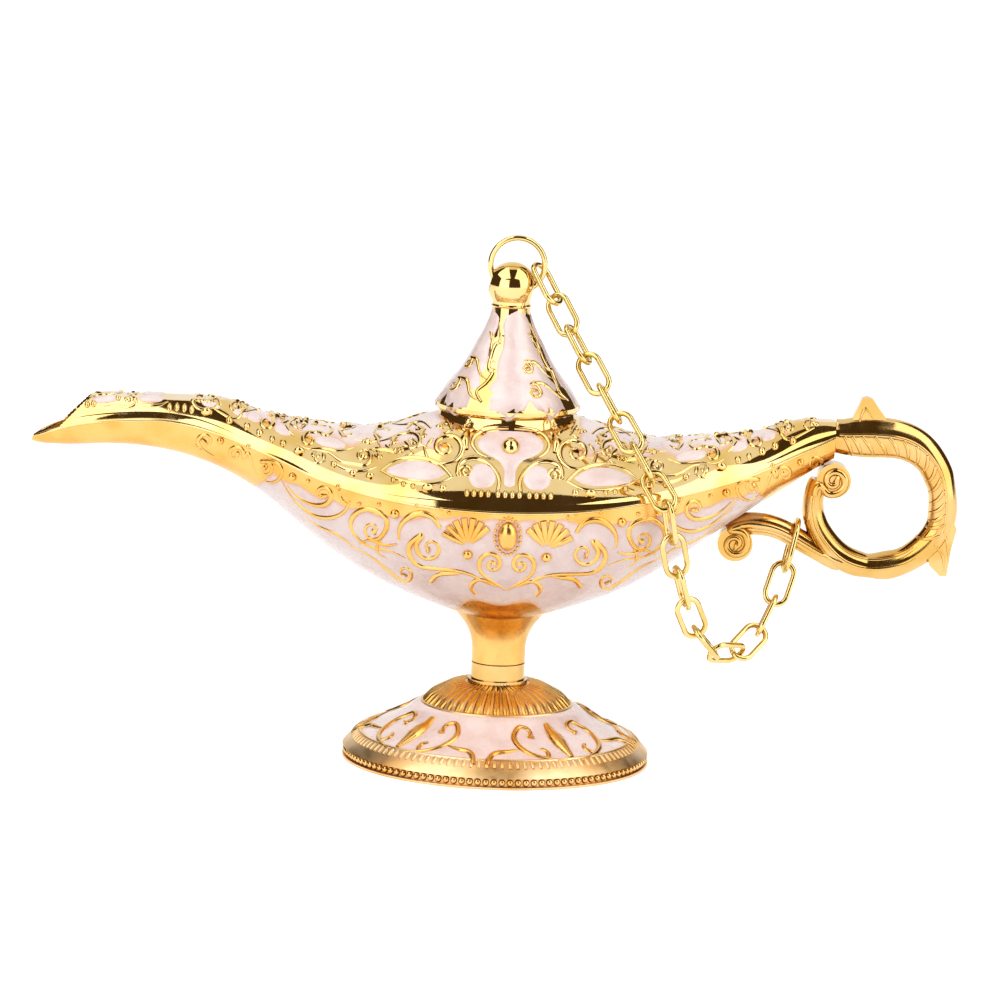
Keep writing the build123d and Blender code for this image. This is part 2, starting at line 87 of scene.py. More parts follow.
SMOOTH = {"interpolation_type": "SMOOTHSTEP"}
COLOURS = {"data_type": "RGBA"}
# Patches of the finishes: toning and rubbing of the plating, clouds and flow of the enamel.
TONE_GRAIN = 9.0
RUB_GRAIN = 3.5
CLOUD_GRAIN = 5.0
FLOW_GRAIN = 2.2
FLOW_HEIGHT = 0.05
FLOW_STRENGTH = 0.6
# Detail of a plain patch, of cloudy enamel and of cast metal.
PATCH_DETAIL = 2.0
CLOUD_DETAIL = 4.0
CAST_DETAIL = 3.0
# Noise or openness at which a change begins and is complete.
TONE_SPREAD = (0.38, 0.72)
CLOUD_SPREAD = (0.35, 0.7)
EVEN_SPREAD = (0.3, 0.7)
# Openness over which the painted shade in grooves fades out, and then the painted peach reflection near
# ridges.
SHADE_SPREAD = (0.2, 0.8)
THIN_AND_REFLECTION_SPREAD = (0.45, 0.97)
DEPTH_SPREAD = (0.5, 1.0)
MASK_SPREAD = (0.44, 0.56)
ENAMEL_ROUGHNESS = (0.22, 0.38)
# Peach, partly painted reflection of the gold and partly thin enamel, lies this near to a ridge; its edge
# blurs by this much; its attribute rises so fast per millimetre.
THIN_AND_REFLECTION_REACH = 1.9
EDGE_BLUR = 0.15
MASK_SLOPE = 0.5
OPENNESS_RAYS = 8

Pair = tuple[float, float]
Triple = tuple[float, float, float]
Bead = tuple[float, float, float, float]
Run = list[tuple[Vector, float]]


class Slot(Enum):
    """Material slots of the record."""

    POLISHED = "polished_gold"
    SATIN = "satin_gold"
    CHAIN = "chain_gold"
    ENAMEL = "pink_enamel"
    STEEL = "screw_steel"


class Body(Enum):
    """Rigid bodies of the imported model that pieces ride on."""

    BODY = "body"
    LID = "lid"
    RING = "ring"


def linear(colour: str) -> tuple[float, float, float, float]:
    """Turn an sRGB hex colour into linear light.

    Args:
        colour: six hex digits after a hash sign.

    Returns:
        Red, green, blue and an alpha of one.
    """
    parts = [int(colour[i:i + 2], 16) / 255 for i in (1, 3, 5)]
    lit = [c / 12.92 if c <= 0.04045 else ((c + 0.055) / 1.055) ** 2.4 for c in parts]
    return (*lit, 1.0)


def select_only(*pieces: Piece) -> None:
    """Select these objects alone, the last one active.

    Args:
        pieces: the objects.
    """
    bpy.ops.object.select_all(action="DESELECT")
    for piece in pieces:
        piece.select_set(True)
    bpy.context.view_layer.objects.active = pieces[-1]


def begin(name: str, add: Callable[..., set[str]], **sizes: object) -> Piece:
    """Add a primitive with nothing else selected, to start a piece from.

    Args:
        name: the piece's name.
        add: the operator that adds it.
        sizes: what the operator is told.

    Returns:
        The primitive.
    """
    bpy.ops.object.select_all(action="DESELECT")
    add(**sizes)
    piece = bpy.context.object
    piece.name = name
    return piece


@contextmanager
def editing() -> Iterator[None]:
    """Edit mode on the active piece with all of it selected, and object mode afterwards.

    Returns:
        Nothing; the block runs in edit mode.
    """
    bpy.ops.object.mode_set(mode="EDIT")
    bpy.ops.mesh.select_all(action="SELECT")
    yield
    bpy.ops.object.mode_set(mode="OBJECT")


def own_copy(piece: Piece) -> Piece:
    """Copy of a piece with its own mesh.

    Args:
        piece: the piece.

    Returns:
        The copy, linked to the scene.
    """
    copy = piece.copy()
    copy.data = piece.data.copy()
    bpy.context.collection.objects.link(copy)
    return copy


def join(name: str, pieces: Sequence[Piece]) -> Piece:
    """Join meshes into one named piece.

    Args:
        name: the piece's name.
        pieces: the meshes.

    Returns:
        The piece.
    """
    select_only(*pieces)
    if len(pieces) > 1:
        bpy.ops.object.join()
    whole = bpy.context.view_layer.objects.active
    whole.name = name
    whole.data.name = name
    return whole


def spline_through(places: Sequence[float], values: np.ndarray, wanted: np.ndarray) -> np.ndarray:
    """Natural cubic spline.

    Args:
        places: rising parameters of the given values.
        values: one row of numbers for each place.
        wanted: parameters to evaluate at.

    Returns:
        One row for each wanted parameter.
    """
    t = np.asarray(places, dtype=float)
    v = np.asarray(values, dtype=float)
    count = len(t)
    gaps = np.diff(t)
    matrix = np.zeros((count, count))
    right = np.zeros_like(v)
    matrix[0, 0] = matrix[-1, -1] = 1
    for i in range(1, count - 1):
        matrix[i, i - 1:i + 2] = gaps[i - 1], 2 * (gaps[i - 1] + gaps[i]), gaps[i]
        right[i] = 6 * ((v[i + 1] - v[i]) / gaps[i] - (v[i] - v[i - 1]) / gaps[i - 1])
    bend = np.linalg.solve(matrix, right.reshape(count, -1)).reshape(v.shape)
    at = np.asarray(wanted, dtype=float)
    k = np.clip(np.searchsorted(t, at) - 1, 0, count - 2)
    shape = (-1,) + (1,) * (v.ndim - 1)
    gap = gaps[k].reshape(shape)
    a = (t[k + 1] - at).reshape(shape)
    b = (at - t[k]).reshape(shape)
    curve = (bend[k] * a ** 3 + bend[k + 1] * b ** 3) / (6 * gap)
    curve += (v[k] / gap - bend[k] * gap / 6) * a + (v[k + 1] / gap - bend[k + 1] * gap / 6) * b
    return curve


def smooth_run(points: Sequence[Pair], step: float = SAMPLE_STEP) -> list[Pair]:
    """Even samples of a smooth curve through given points.

    Args:
        points: places in a flat drawing, in millimetres.
        step: rough distance between samples.

    Returns:
        The samples, first and last point included.
    """
    rows = np.array(points)
    chords = np.linalg.norm(np.diff(rows, axis=0), axis=1)
    places = np.concatenate(([0], np.cumsum(chords)))
    count = max(FEWEST_SAMPLES, int(places[-1] / step))
    return [tuple(p) for p in spline_through(places, rows, np.linspace(0, places[-1], count))]


def curl(eye: Pair, radius: float, turns: float, leave: float, sense: int) -> list[Pair]:
    """Points of a spiral that grows from its eye.

    Args:
        eye: centre of the spiral.
        radius: outer radius.
        turns: number of turns.
        leave: direction of the last point from the eye, in degrees.
        sense: 1 to grow anticlockwise, -1 clockwise.

    Returns:
        Points from the eye outwards.
    """
    count = max(FEWEST_CURL_POINTS, int(turns * CURL_POINTS))
    points = []
    for i in range(count + 1):
        share = i / count
        turn = math.radians(leave - sense * 360 * turns * (1 - share))
        reach = radius * (CURL_EYE_SHARE + (1 - CURL_EYE_SHARE) * share)
        points.append((eye[0] + reach * math.cos(turn), eye[1] + reach * math.sin(turn)))
    return points


def add_node(tree: NodeTree, kind: str, settings: dict | None = None,
             values: dict | None = None, links: dict | None = None) -> Node:
    """Add one node.

    Args:
        tree: the material's node tree.
        kind: node type, without the prefix of shader nodes.
        settings: attributes of the node.
        values: default values by socket name or number.
        links: output sockets to link by input socket name or number.

    Returns:
        The new node.
    """
    node = tree.nodes.new(f"ShaderNode{kind}")
    for name, value in (settings or {}).items():
        setattr(node, name, value)
    for socket, value in (values or {}).items():
        node.inputs[socket].default_value = value
    for socket, source in (links or {}).items():
        tree.links.new(source, node.inputs[socket])
    return node


def material_of(name: str, surface: Callable[[NodeTree], NodeSocket]) -> Material:
    """Node material with one surface.

    Args:
        name: the material's name.
        surface: builds the shader in a tree and returns its output.

    Returns:
        The material.
    """
    material = bpy.data.materials.new(name)
    material.use_nodes = True
    tree = material.node_tree
    tree.nodes.clear()
    add_node(tree, "OutputMaterial", links={"Surface": surface(tree)})
    return material


def mottled(tree: NodeTree, place: dict, grain: float, spread: Pair, ends: Pair = (0.0, 1.0),
            detail: float = PATCH_DETAIL) -> NodeSocket:
    """Value that wanders over the surface in patches.

    Args:
        tree: the material's node tree.
        place: link to the coordinates.
        grain: size of a patch in millimetres.
        spread: noise at which a patch begins and is full.
        ends: values outside and inside a patch.
        detail: finer waves that lie on a patch.

    Returns:
        The value.
    """
    noise = add_node(tree, "TexNoise", values={"Scale": 1 / (grain * MM), "Detail": detail},
                     links=place)
    patch = add_node(tree, "MapRange", SMOOTH,
                     {"From Min": spread[0], "From Max": spread[1], "To Min": ends[0], "To Max": ends[1]},
                     {"Value": noise.outputs[0]})
    return patch.outputs[0]


def openness(tree: NodeTree, reach: float, spread: Pair) -> NodeSocket:
    """Zero in grooves and corners, one where nothing stands near.

    Args:
        tree: the material's node tree.
        reach: distance in millimetres within which other surfaces count.
        spread: share of open sky at which it leaves zero and reaches one.

    Returns:
        The value.
    """
    sky = add_node(tree, "AmbientOcclusion", {"samples": OPENNESS_RAYS}, {"Distance": reach * MM})
    share = add_node(tree, "MapRange", SMOOTH, {"From Min": spread[0], "From Max": spread[1]},
                     {"Value": sky.outputs["AO"]})
    return share.outputs[0]


def uneven(tree: NodeTree, place: dict, grain: float, height: float, strength: float,
           detail: float) -> NodeSocket:
    """Normal of a surface that is slightly uneven.

    Args:
        tree: the material's node tree.
        place: link to the coordinates.
        grain: size of the unevenness in millimetres.
        height: its height in millimetres.
        strength: share of it that shows.
        detail: finer waves that lie on it.

    Returns:
        The normal.
    """
    noise = add_node(tree, "TexNoise", values={"Scale": 1 / (grain * MM), "Detail": detail},
                     links=place)
    bump = add_node(tree, "Bump", values={"Distance": height * MM, "Strength": strength},
                    links={"Height": noise.outputs[0]})
    return bump.outputs["Normal"]


@dataclass(frozen=True)
class GoldPlate:
    """Gold-plated zinc casting: a thin bright plating over a polished or matt cast ground.

    Attributes:
        name: material name.
        bright: colour of clean plating.
        worn: colour where the plating is thinner or toned.
        groove_shade: painted shade, a darker colour laid into grooves and corners.
        roughness: mean roughness.
        spread: change of roughness over the surface.
        grain: size of the surface's unevenness in millimetres.
        relief: height of that unevenness in millimetres.
        shade_reach: width in millimetres of the grooves that the painted shade darkens.
        slot: the record's slot that it belongs to; not used.
    """

    name: str
    bright: str
    worn: str
    groove_shade: str
    roughness: float
    spread: float
    grain: float
    relief: float
    shade_reach: float
    slot: Slot

    def shader(self, tree: NodeTree) -> NodeSocket:
        """Plating that tones in patches, with painted shade in its grooves.

        Args:
            tree: the material's node tree.

        Returns:
            The shader's output.
        """
        place = {"Vector": add_node(tree, "TexCoord").outputs["Object"]}
        toned = add_node(tree, "Mix", COLOURS, {6: linear(self.bright), 7: linear(self.worn)},
                         {0: mottled(tree, place, TONE_GRAIN, TONE_SPREAD)})
        # Painted shade: a darker colour laid in wherever other surfaces stand near.
        colour = add_node(tree, "Mix", COLOURS, {6: linear(self.groove_shade)},
                          {0: openness(tree, self.shade_reach, SHADE_SPREAD), 7: toned.outputs[2]})
        rough = mottled(tree, place, RUB_GRAIN, EVEN_SPREAD,
                        (self.roughness - self.spread, self.roughness + self.spread))
        normal = uneven(tree, place, self.grain, self.relief, 1.0, CAST_DETAIL)
        node = add_node(tree, "BsdfPrincipled", values={"Metallic": 1.0},
                        links={"Base Color": colour.outputs[2], "Roughness": rough, "Normal": normal})
        return node.outputs["BSDF"]

    def build(self) -> Material:
        """Make the material."""
        return material_of(self.name, self.shader)


@dataclass(frozen=True)
class PearlEnamel:
    """Pearl-pink cold enamel poured into the sunk ground: glossy, slightly cloudy, thin at its edges, with a
    painted peach reflection of the gold near ridges.

    Attributes:
        name: material name.
        pale: colour of full enamel.
        cloudy: colour of its darker clouds.
        thin_edge_and_reflection: peach colour where it runs thin against the gold, also painted near ridges
            as the gold's reflection.
        mask: name of a vertex attribute that is one on enamel, or empty.
        band: radii in millimetres between which enamel lies, or empty.
        plate: the plating that shows outside the enamel.
        slot: the record's slot that it belongs to; not used.
    """

    name: str
    pale: str
    cloudy: str
    thin_edge_and_reflection: str
    plate: GoldPlate
    mask: str = ""
    band: tuple[float, ...] = ()
    slot: Slot = Slot.ENAMEL

    def shader(self, tree: NodeTree) -> NodeSocket:
        """Enamel alone: clouded, with painted peach reflection towards ridges and peach at its thin edges.

        Args:
            tree: the material's node tree.

        Returns:
            The shader's output.
        """
        place = {"Vector": add_node(tree, "TexCoord").outputs["Object"]}
        full = add_node(tree, "Mix", COLOURS, {6: linear(self.pale), 7: linear(self.cloudy)},
                        {0: mottled(tree, place, CLOUD_GRAIN, CLOUD_SPREAD, detail=CLOUD_DETAIL)})
        # Painted reflection: peach laid in wherever ridges stand near.
        colour = add_node(tree, "Mix", COLOURS, {6: linear(self.thin_edge_and_reflection)},
                          {0: openness(tree, THIN_AND_REFLECTION_REACH, THIN_AND_REFLECTION_SPREAD), 7: full.outputs[2]})
        if self.mask:
            # Peach at the enamel's thin edge, read off the enamel attribute.
            colour = add_node(tree, "Mix", COLOURS, {6: linear(self.thin_edge_and_reflection)},
                              {0: self.painted(tree, DEPTH_SPREAD), 7: colour.outputs[2]})
        rough = mottled(tree, place, FLOW_GRAIN, EVEN_SPREAD, ENAMEL_ROUGHNESS)
        normal = uneven(tree, place, FLOW_GRAIN, FLOW_HEIGHT, FLOW_STRENGTH, PATCH_DETAIL)
        node = add_node(tree, "BsdfPrincipled",
                        values={"IOR": 1.5, "Coat Weight": 0.6, "Coat Roughness": 0.1, "Sheen Weight": 0.1},
                        links={"Base Color": colour.outputs[2], "Roughness": rough, "Normal": normal})
        return node.outputs["BSDF"]

    def painted(self, tree: NodeTree, spread: Pair) -> NodeSocket:
        """Share from zero to one, read off the painted attribute.

        Args:
            tree: the material's node tree.
            spread: the attribute where the share leaves zero and reaches one.

        Returns:
            The share.
        """
        depth = add_node(tree, "Attribute", {"attribute_name": self.mask})
        share = add_node(tree, "MapRange", SMOOTH, {"From Min": spread[0], "From Max": spread[1]},
                         {"Value": depth.outputs["Fac"]})
        return share.outputs[0]

    def share(self, tree: NodeTree) -> NodeSocket:
        """One where enamel lies and zero on bare plating.

        Args:
            tree: the material's node tree.

        Returns:
            The share.
        """
        if self.mask:
            return self.painted(tree, MASK_SPREAD)
        place = add_node(tree, "TexCoord")
        flat = add_node(tree, "Mapping", values={"Scale": (1.0, 1.0, 0.0)},
                        links={"Vector": place.outputs["Object"]})
        radius = add_node(tree, "VectorMath", {"operation": "LENGTH"}, links={0: flat.outputs["Vector"]})
        edges = []
        for edge, ends in zip(self.band, ((0.0, 1.0), (1.0, 0.0))):
            edges.append(add_node(tree, "MapRange", SMOOTH,
                                  {"From Min": (edge - EDGE_BLUR) * MM, "From Max": (edge + EDGE_BLUR) * MM,
                                   "To Min": ends[0], "To Max": ends[1]}, {"Value": radius.outputs["Value"]}))
        both = add_node(tree, "Math", {"operation": "MULTIPLY"},
                        links={0: edges[0].outputs[0], 1: edges[1].outputs[0]})
        return both.outputs["Value"]

    def surface(self, tree: NodeTree) -> NodeSocket:
        """Enamel alone, or with its plating beside it.

        Args:
            tree: the material's node tree.

        Returns:
            The shader's output.
        """
        enamel = self.shader(tree)
        if not (self.mask or self.band):
            return enamel
        blend = add_node(tree, "MixShader",
                         links={0: self.share(tree), 1: self.plate.shader(tree), 2: enamel})
        return blend.outputs["Shader"]

    def build(self) -> Material:
        """Make the material."""
        return material_of(self.name, self.surface)


# The cast metal's grain of about 0.1 mm is too fine to show, so every grain below is drawn coarser.
# The third colour of each plating below is painted shade in its grooves and corners.
# Electroplated over a buffed casting: mirror-bright, thin spots toned, painted shade in the grooves.
POLISHED = GoldPlate("gold_plate_polished", "#F0D294", "#E6BE6C", "#906228", 0.06, 0.03, 2.5, 0.008, 0.9,
                     Slot.POLISHED)
# Electroplated over the unbuffed casting: soft sheen, a richer orange painted as shade in the grooves.
SATIN = GoldPlate("gold_plate_satin", "#EFC070", "#E4AC52", "#BC7828", 0.25, 0.05, 0.45, 0.006, 1.1,
                  Slot.SATIN)
# The same plating over a casting brought up with a soft mop: reflections show, a little blurred.
BUFFED = GoldPlate("gold_plate_buffed", "#E4BE7C", "#D8AA5A", "#A46820", 0.14, 0.04, 0.8, 0.005, 1.1,
                   Slot.SATIN)
# The same plating over a blasted casting: no clear mirror left, paler and more even.
MATT = GoldPlate("gold_plate_matt", "#FBDCAC", "#F2C684", "#C08038", 0.36, 0.06, 0.45, 0.006, 0.9,
                 Slot.SATIN)
# Drawn steel wire with a pale flash of gold, rubbed by its neighbours.
WIRE = GoldPlate("gold_plate_wire", "#EAD08E", "#DCC074", "#8A6C24", 0.12, 0.04, 1.2, 0.010, 0.5,
                 Slot.CHAIN)
# Turned steel with clear zinc plating.
STEEL = GoldPlate("zinc_plated_steel", "#B9BBBD", "#9EA0A2", "#55585A", 0.30, 0.08, 0.4, 0.010, 0.8,
                  Slot.STEEL)
# Cold enamel wiped into the sunk ground by hand, peach where it thins at its edge and, as painted reflection
# of the gold, near every ridge.
ENAMEL = PearlEnamel("pearl_pink_enamel", "#EDD8D3", "#E3C8C1", "#E8B088", POLISHED)


@dataclass
class Palette:
    """The built materials, each made once."""

    made: dict[str, Material] = field(default_factory=dict)

    def get(self, finish: GoldPlate | PearlEnamel) -> Material:
        """Material of a finish, built on first use.

        Args:
            finish: the finish.

        Returns:
            Its material.
        """
        if finish.name not in self.made:
            self.made[finish.name] = finish.build()
        return self.made[finish.name]


PALETTE = Palette()


def dress(piece: Piece, finish: GoldPlate | PearlEnamel, body: str = Body.BODY.value) -> None:
    """Give a piece its finish, material slot and body.

    Args:
        piece: the mesh.
        finish: its finish.
        body: name of the body that it rides on.
    """
    piece.data.materials.clear()
    piece.data.materials.append(PALETTE.get(finish))
    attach(piece, body)
    LOG.info("%s: %d faces on %s", piece.name, len(piece.data.polygons), body)


class Ground(Protocol):
    """A surface that a flat drawing is laid on."""

    def at(self, a: float, b: float) -> tuple[Vector, Vector] | None:
        """Place and outward normal for a drawing's point, or None beside the surface."""


def tree_of(*pieces: Piece) -> BVHTree:
    """Search tree over some meshes.

    Args:
        pieces: the meshes.

    Returns:
        The tree.
    """
    points, faces = [], []
    for piece in pieces:
        base = len(points)
        points += [v.co.copy() for v in piece.data.vertices]
        faces += [[base + i for i in face.vertices] for face in piece.data.polygons]
    return BVHTree.FromPolygons(points, faces)


def meet(tree: BVHTree, start: Vector, way: Vector, out: Vector) -> tuple[Vector, Vector] | None:
    """Where a line first meets a surface.

    Args:
        tree: the surface.
        start: where the line starts, in metres.
        way: its direction.
        out: direction that the normal is turned to.

    Returns:
        The place and its outward normal, or None where the line misses.
    """
    place, normal, _, _ = tree.ray_cast(start, way)
    if place is None:
        return None
    return place, normal if normal.dot(out) >= 0 else -normal


def bearing(angle: float) -> Vector:
    """Level direction at an angle in degrees, from the front round to +X."""
    return Vector((math.sin(math.radians(angle)), -math.cos(math.radians(angle)), 0))


@dataclass
class FrontGround:
    """A surface seen from the front or back; drawings are X and seen height in millimetres."""

    tree: BVHTree
    side: int = FRONT
    slope: float = VIEW_SLOPE

    def at(self, a: float, b: float) -> tuple[Vector, Vector] | None:
        """Where the line of sight through a drawing's point meets the surface."""
        start = Vector((a, self.side * FAR, b + self.slope * FAR)) * MM
        return meet(self.tree, start, Vector((0, -self.side, -self.slope)), Vector((0, self.side, 0)))


@dataclass
class TurnedGround:
    """A turned surface; drawings are an angle in degrees and a height in millimetres."""

    tree: BVHTree

    def at(self, a: float, b: float) -> tuple[Vector, Vector] | None:
        """Where a level line from outside towards the axis meets the surface."""
        out = bearing(a)
        return meet(self.tree, out * FAR * MM + Vector((0, 0, b * MM)), -out, out)


@dataclass
class TopGround:
    """A surface seen from above; drawings are an angle in degrees and a radius in millimetres."""

    tree: BVHTree

    def at(self, a: float, b: float) -> tuple[Vector, Vector] | None:
        """Where a plumb line meets the surface."""
        up = Vector((0, 0, 1))
        return meet(self.tree, bearing(a) * b * MM + up * FAR * MM, -up, up)


@dataclass
class Ridge:
    """One raised line of the relief.

    Attributes:
        points: the drawing's places in order.
        width: half width in millimetres at the thickest place.
        start: share of the width at the first point.
        end: share of the width at the last point.
        bead: size of a ball on the first point, as a share of the width; zero for none.
    """

    points: Sequence[Pair]
    width: float = 0.5
    start: float = 0.5
    end: float = 0.25
    bead: float = 0.0

    def moved(self, across: float, flip: bool = False) -> "Ridge":
        """The same ridge shifted along the drawing, or mirrored first."""
        sign = -1 if flip else 1
        return replace(self, points=[(across + sign * a, b) for a, b in self.points])


@dataclass
class Pad:
    """One raised cushion of the relief with a closed outline.

    Attributes:
        outline: given points round it.
        height: how far its middle stands proud, in millimetres.
        edge: how far its rim is sunk, in millimetres.
    """

    outline: Sequence[Pair]
    height: float = 0.45
    edge: float = 0.12

    def moved(self, across: float, flip: bool = False) -> "Pad":
        """The same pad shifted along the drawing, or mirrored first."""
        sign = -1 if flip else 1
        return replace(self, outline=[(across + sign * a, b) for a, b in self.outline])


def mirrored(drawn: Iterable[Ridge | Pad], centre: float) -> list[Ridge | Pad]:
    """Items and then the same items mirrored about a vertical line of the drawing."""
    listed = list(drawn)
    return [one.moved(centre) for one in listed] + [one.moved(centre, flip=True) for one in listed]


def stretched(points: Sequence[Pair], centre: Pair, across: float) -> list[Pair]:
    """A flat drawing round zero moved to a centre, its first coordinate stretched."""
    return [(centre[0] + a * across, centre[1] + b) for a, b in points]


def sprig(foot: Pair, size: float, turn: float, sense: int) -> list[Ridge]:
    """A small curl with two leaves, as filling between larger scrolls.

    Args:
        foot: place where the sprig leaves the scroll.
        size: its length in millimetres.
        turn: its direction in degrees.
        sense: 1 to curl anticlockwise, -1 clockwise.

    Returns:
        Its three ridges.
    """
    lean = math.radians(turn)
    ahead = (math.cos(lean), math.sin(lean))
    aside = (-sense * math.sin(lean), sense * math.cos(lean))

    def spot(along: float, across: float) -> Pair:
        """A place ahead of the foot and aside of it, as shares of the size."""
        return (foot[0] + size * (along * ahead[0] + across * aside[0]),
                foot[1] + size * (along * ahead[1] + across * aside[1]))

    stem = [*curl(spot(0.72, 0.16), size * 0.27, 0.8, turn + sense * 20, sense), spot(0.62, -0.16),
            spot(0, 0)]
    inner = [spot(0.34, 0.42), spot(0.22, 0.2), spot(0.1, 0.0)]
    outer = [spot(0.66, -0.42), spot(0.4, -0.3), spot(0.16, -0.06)]
    return [Ridge(stem, 0.4, 0.8, 0.4), Ridge(inner, 0.42, 0.8, 0.4), Ridge(outer, 0.42, 0.8, 0.4)]


def oval(centre: Pair, across: float, up: float, turn: float = 0.0) -> list[Pair]:
    """Outline of an oval.

    Args:
        centre: its middle.
        across: half its length in millimetres.
        up: half its height in millimetres.
        turn: its slant in degrees.

    Returns:
        Twelve points round it.
    """
    lean = math.radians(turn)
    points = []
    for i in range(12):
        angle = math.tau * i / 12
        x, y = across * math.cos(angle), up * math.sin(angle)
        points.append((centre[0] + x * math.cos(lean) - y * math.sin(lean),
                       centre[1] + x * math.sin(lean) + y * math.cos(lean)))
    return points


def ridge_runs(ridges: Iterable[Ridge], ground: Ground, sink: float, heft: float = 1.0) -> list[Run]:
    """Lay ridges on a ground.

    Args:
        ridges: the drawing.
        ground: the surface.
        sink: depth of each wire's middle below the surface, as a share of its width.
        heft: factor on every width.

    Returns:
        Runs of places with the wire's radius in millimetres.
    """
    runs = []
    for ridge in ridges:
        samples = smooth_run(ridge.points)
        run = []
        for i, (a, b) in enumerate(samples):
            share = i / (len(samples) - 1)
            swell = min(1.0, ridge.start + share / SWELL_SHARE * (1 - ridge.start),
                        ridge.end + (1 - share) / THIN_SHARE * (1 - ridge.end))
            radius = heft * ridge.width * swell
            if ridge.bead and i < 2:
                radius = heft * ridge.width * ridge.bead
            hit = ground.at(a, b)
            if hit is None:
                if len(run) > 2:
                    runs.append(run)
                run = []
                continue
            place, normal = hit
            run.append((place - normal * (radius * sink * MM), radius))
        if len(run) > 2:
            runs.append(run)
    return runs


def wires(name: str, runs: Sequence[Run], sides: int = 2) -> Piece:
    """Round wires along runs of places, as one mesh.

    Args:
        name: the piece's name.
        runs: places with radii in millimetres.
        sides: bevel resolution of the wire.

    Returns:
        The mesh.
    """
    path = begin(name, bpy.ops.curve.primitive_nurbs_path_add)
    drawn = path.data
    drawn.splines.clear()
    for run in runs:
        spline = drawn.splines.new("POLY")
        spline.points.add(len(run) - 1)
        for point, (place, radius) in zip(spline.points, run):
            point.co = (*place, 1)
            point.radius = radius
    drawn.bevel_depth = MM
    drawn.bevel_resolution = sides
    drawn.use_fill_caps = True
    select_only(path)
    bpy.ops.object.convert(target="MESH")
    bpy.ops.object.shade_smooth()
    return bpy.context.object


def pad_blank() -> Piece:
    """Unit disc with rings, from a filled circle inset towards its middle.

    Returns:
        The disc.
    """
    blank = begin("pad_blank", bpy.ops.mesh.primitive_circle_add, vertices=PAD_SIDES, radius=1.0,
                  fill_type="NGON")
    with editing():
        for step in PAD_RINGS:
            bpy.ops.mesh.inset(thickness=step, use_even_offset=False)
        bpy.ops.mesh.poke()
    return blank


def lay_pad(blank: Piece, pad: Pad, ground: Ground) -> Piece | None:
    """One raised cushion laid on a ground.

    Args:
        blank: the unit disc.
        pad: the cushion.
        ground: the surface.

    Returns:
        The cushion, or None where it would hang over the surface's edge.
    """
    around = smooth_run([*pad.outline, pad.outline[0]], PAD_STEP)[:-1]
    middle = (sum(p[0] for p in around) / len(around), sum(p[1] for p in around) / len(around))
    cushion = own_copy(blank)
    for vertex in cushion.data.vertices:
        out = min(1.0, math.hypot(vertex.co.x, vertex.co.y))
        turn = (math.atan2(vertex.co.y, vertex.co.x) / math.tau) % 1.0 * len(around)
        low = int(turn) % len(around)
        high = (low + 1) % len(around)
        part = turn - int(turn)
        edge = [around[low][n] + part * (around[high][n] - around[low][n]) for n in (0, 1)]
        hit = ground.at(*(middle[n] + out * (edge[n] - middle[n]) for n in (0, 1)))
        if hit is None:
            bpy.data.objects.remove(cushion)
            return None
        rise = pad.height * math.sqrt(max(0.0, 1 - out ** PAD_CROWN)) - pad.edge
        vertex.co = hit[0] + hit[1] * (rise * MM)
    return cushion


def lay_pads(name: str, pads: Sequence[Pad], ground: Ground) -> Piece:
    """Raised cushions laid on a ground, as one mesh.

    Args:
        name: the piece's name.
        pads: the cushions.
        ground: the surface.

    Returns:
        The mesh.
    """
    blank = pad_blank()
    laid = [lay_pad(blank, pad, ground) for pad in pads]
    bpy.data.objects.remove(blank)
    piece = join(name, [cushion for cushion in laid if cushion])
    with editing():
        bpy.ops.mesh.normals_make_consistent(inside=False)
    bpy.ops.object.shade_smooth()
    return piece


def bead_blank(rings: int = 2) -> Piece:
    """Unit ball with few faces, cut off flat where it sinks into its ground.

    Args:
        rings: how often the ball's faces are divided.

    Returns:
        The ball.
    """
    blank = begin("bead_blank", bpy.ops.mesh.primitive_ico_sphere_add, subdivisions=rings, radius=1.0)
    with editing():
        bpy.ops.mesh.bisect(plane_co=(0, 0, -BEAD_CUT), plane_no=(0, 0, 1), clear_inner=True, use_fill=True)
    return blank


def stamp(name: str, blank: Piece, places: Sequence[Matrix]) -> Piece:
    """Copies of a blank, joined; the blank is removed.

    Args:
        name: the piece's name.
        blank: what is copied.
        places: one matrix for each copy.

    Returns:
        The piece.
    """
    copies = [own_copy(blank) for _ in places]
    for copy, place in zip(copies, places):
        copy.data.transform(place)
    bpy.data.objects.remove(blank)
    piece = join(name, copies)
    bpy.ops.object.shade_smooth()
    return piece


def seat(place: Vector, normal: Vector, along: Vector, sizes: Triple) -> Matrix:
    """Matrix that puts a unit ball on a surface.

    Args:
        place: the ball's middle, in metres.
        normal: the surface's normal.
        along: the direction that its first size lies along.
        sizes: half sizes in millimetres along, across and out of the surface.

    Returns:
        The matrix.
    """
    first = (along - normal * along.dot(normal)).normalized()
    second = normal.cross(first)
    turn = Matrix((first, second, normal)).transposed().to_4x4()
    return Matrix.Translation(place) @ turn @ Matrix.Diagonal((*(s * MM for s in sizes), 1.0))


def beads_on(drawing: Iterable[Bead], ground: Ground, proud: float) -> list[Matrix]:
    """Seats for beads.

    Args:
        drawing: rows of a, b, half width and half height in millimetres.
        ground: the surface.
        proud: height of each bead's middle over the surface, as a share of its width.

    Returns:
        One matrix for each bead that meets the surface.
    """
    seats = []
    for a, b, across, up in drawing:
        hit = ground.at(a, b)
        above = ground.at(a, b + BEAD_LOOK)
        if hit is None or above is None:
            continue
        place, normal = hit
        along = above[0] - place
        if along.length < NO_LENGTH:
            along = Vector((0, 0, 1))
        seats.append(seat(place + normal * (proud * across * MM), normal, along, (up, across, across)))
    return seats


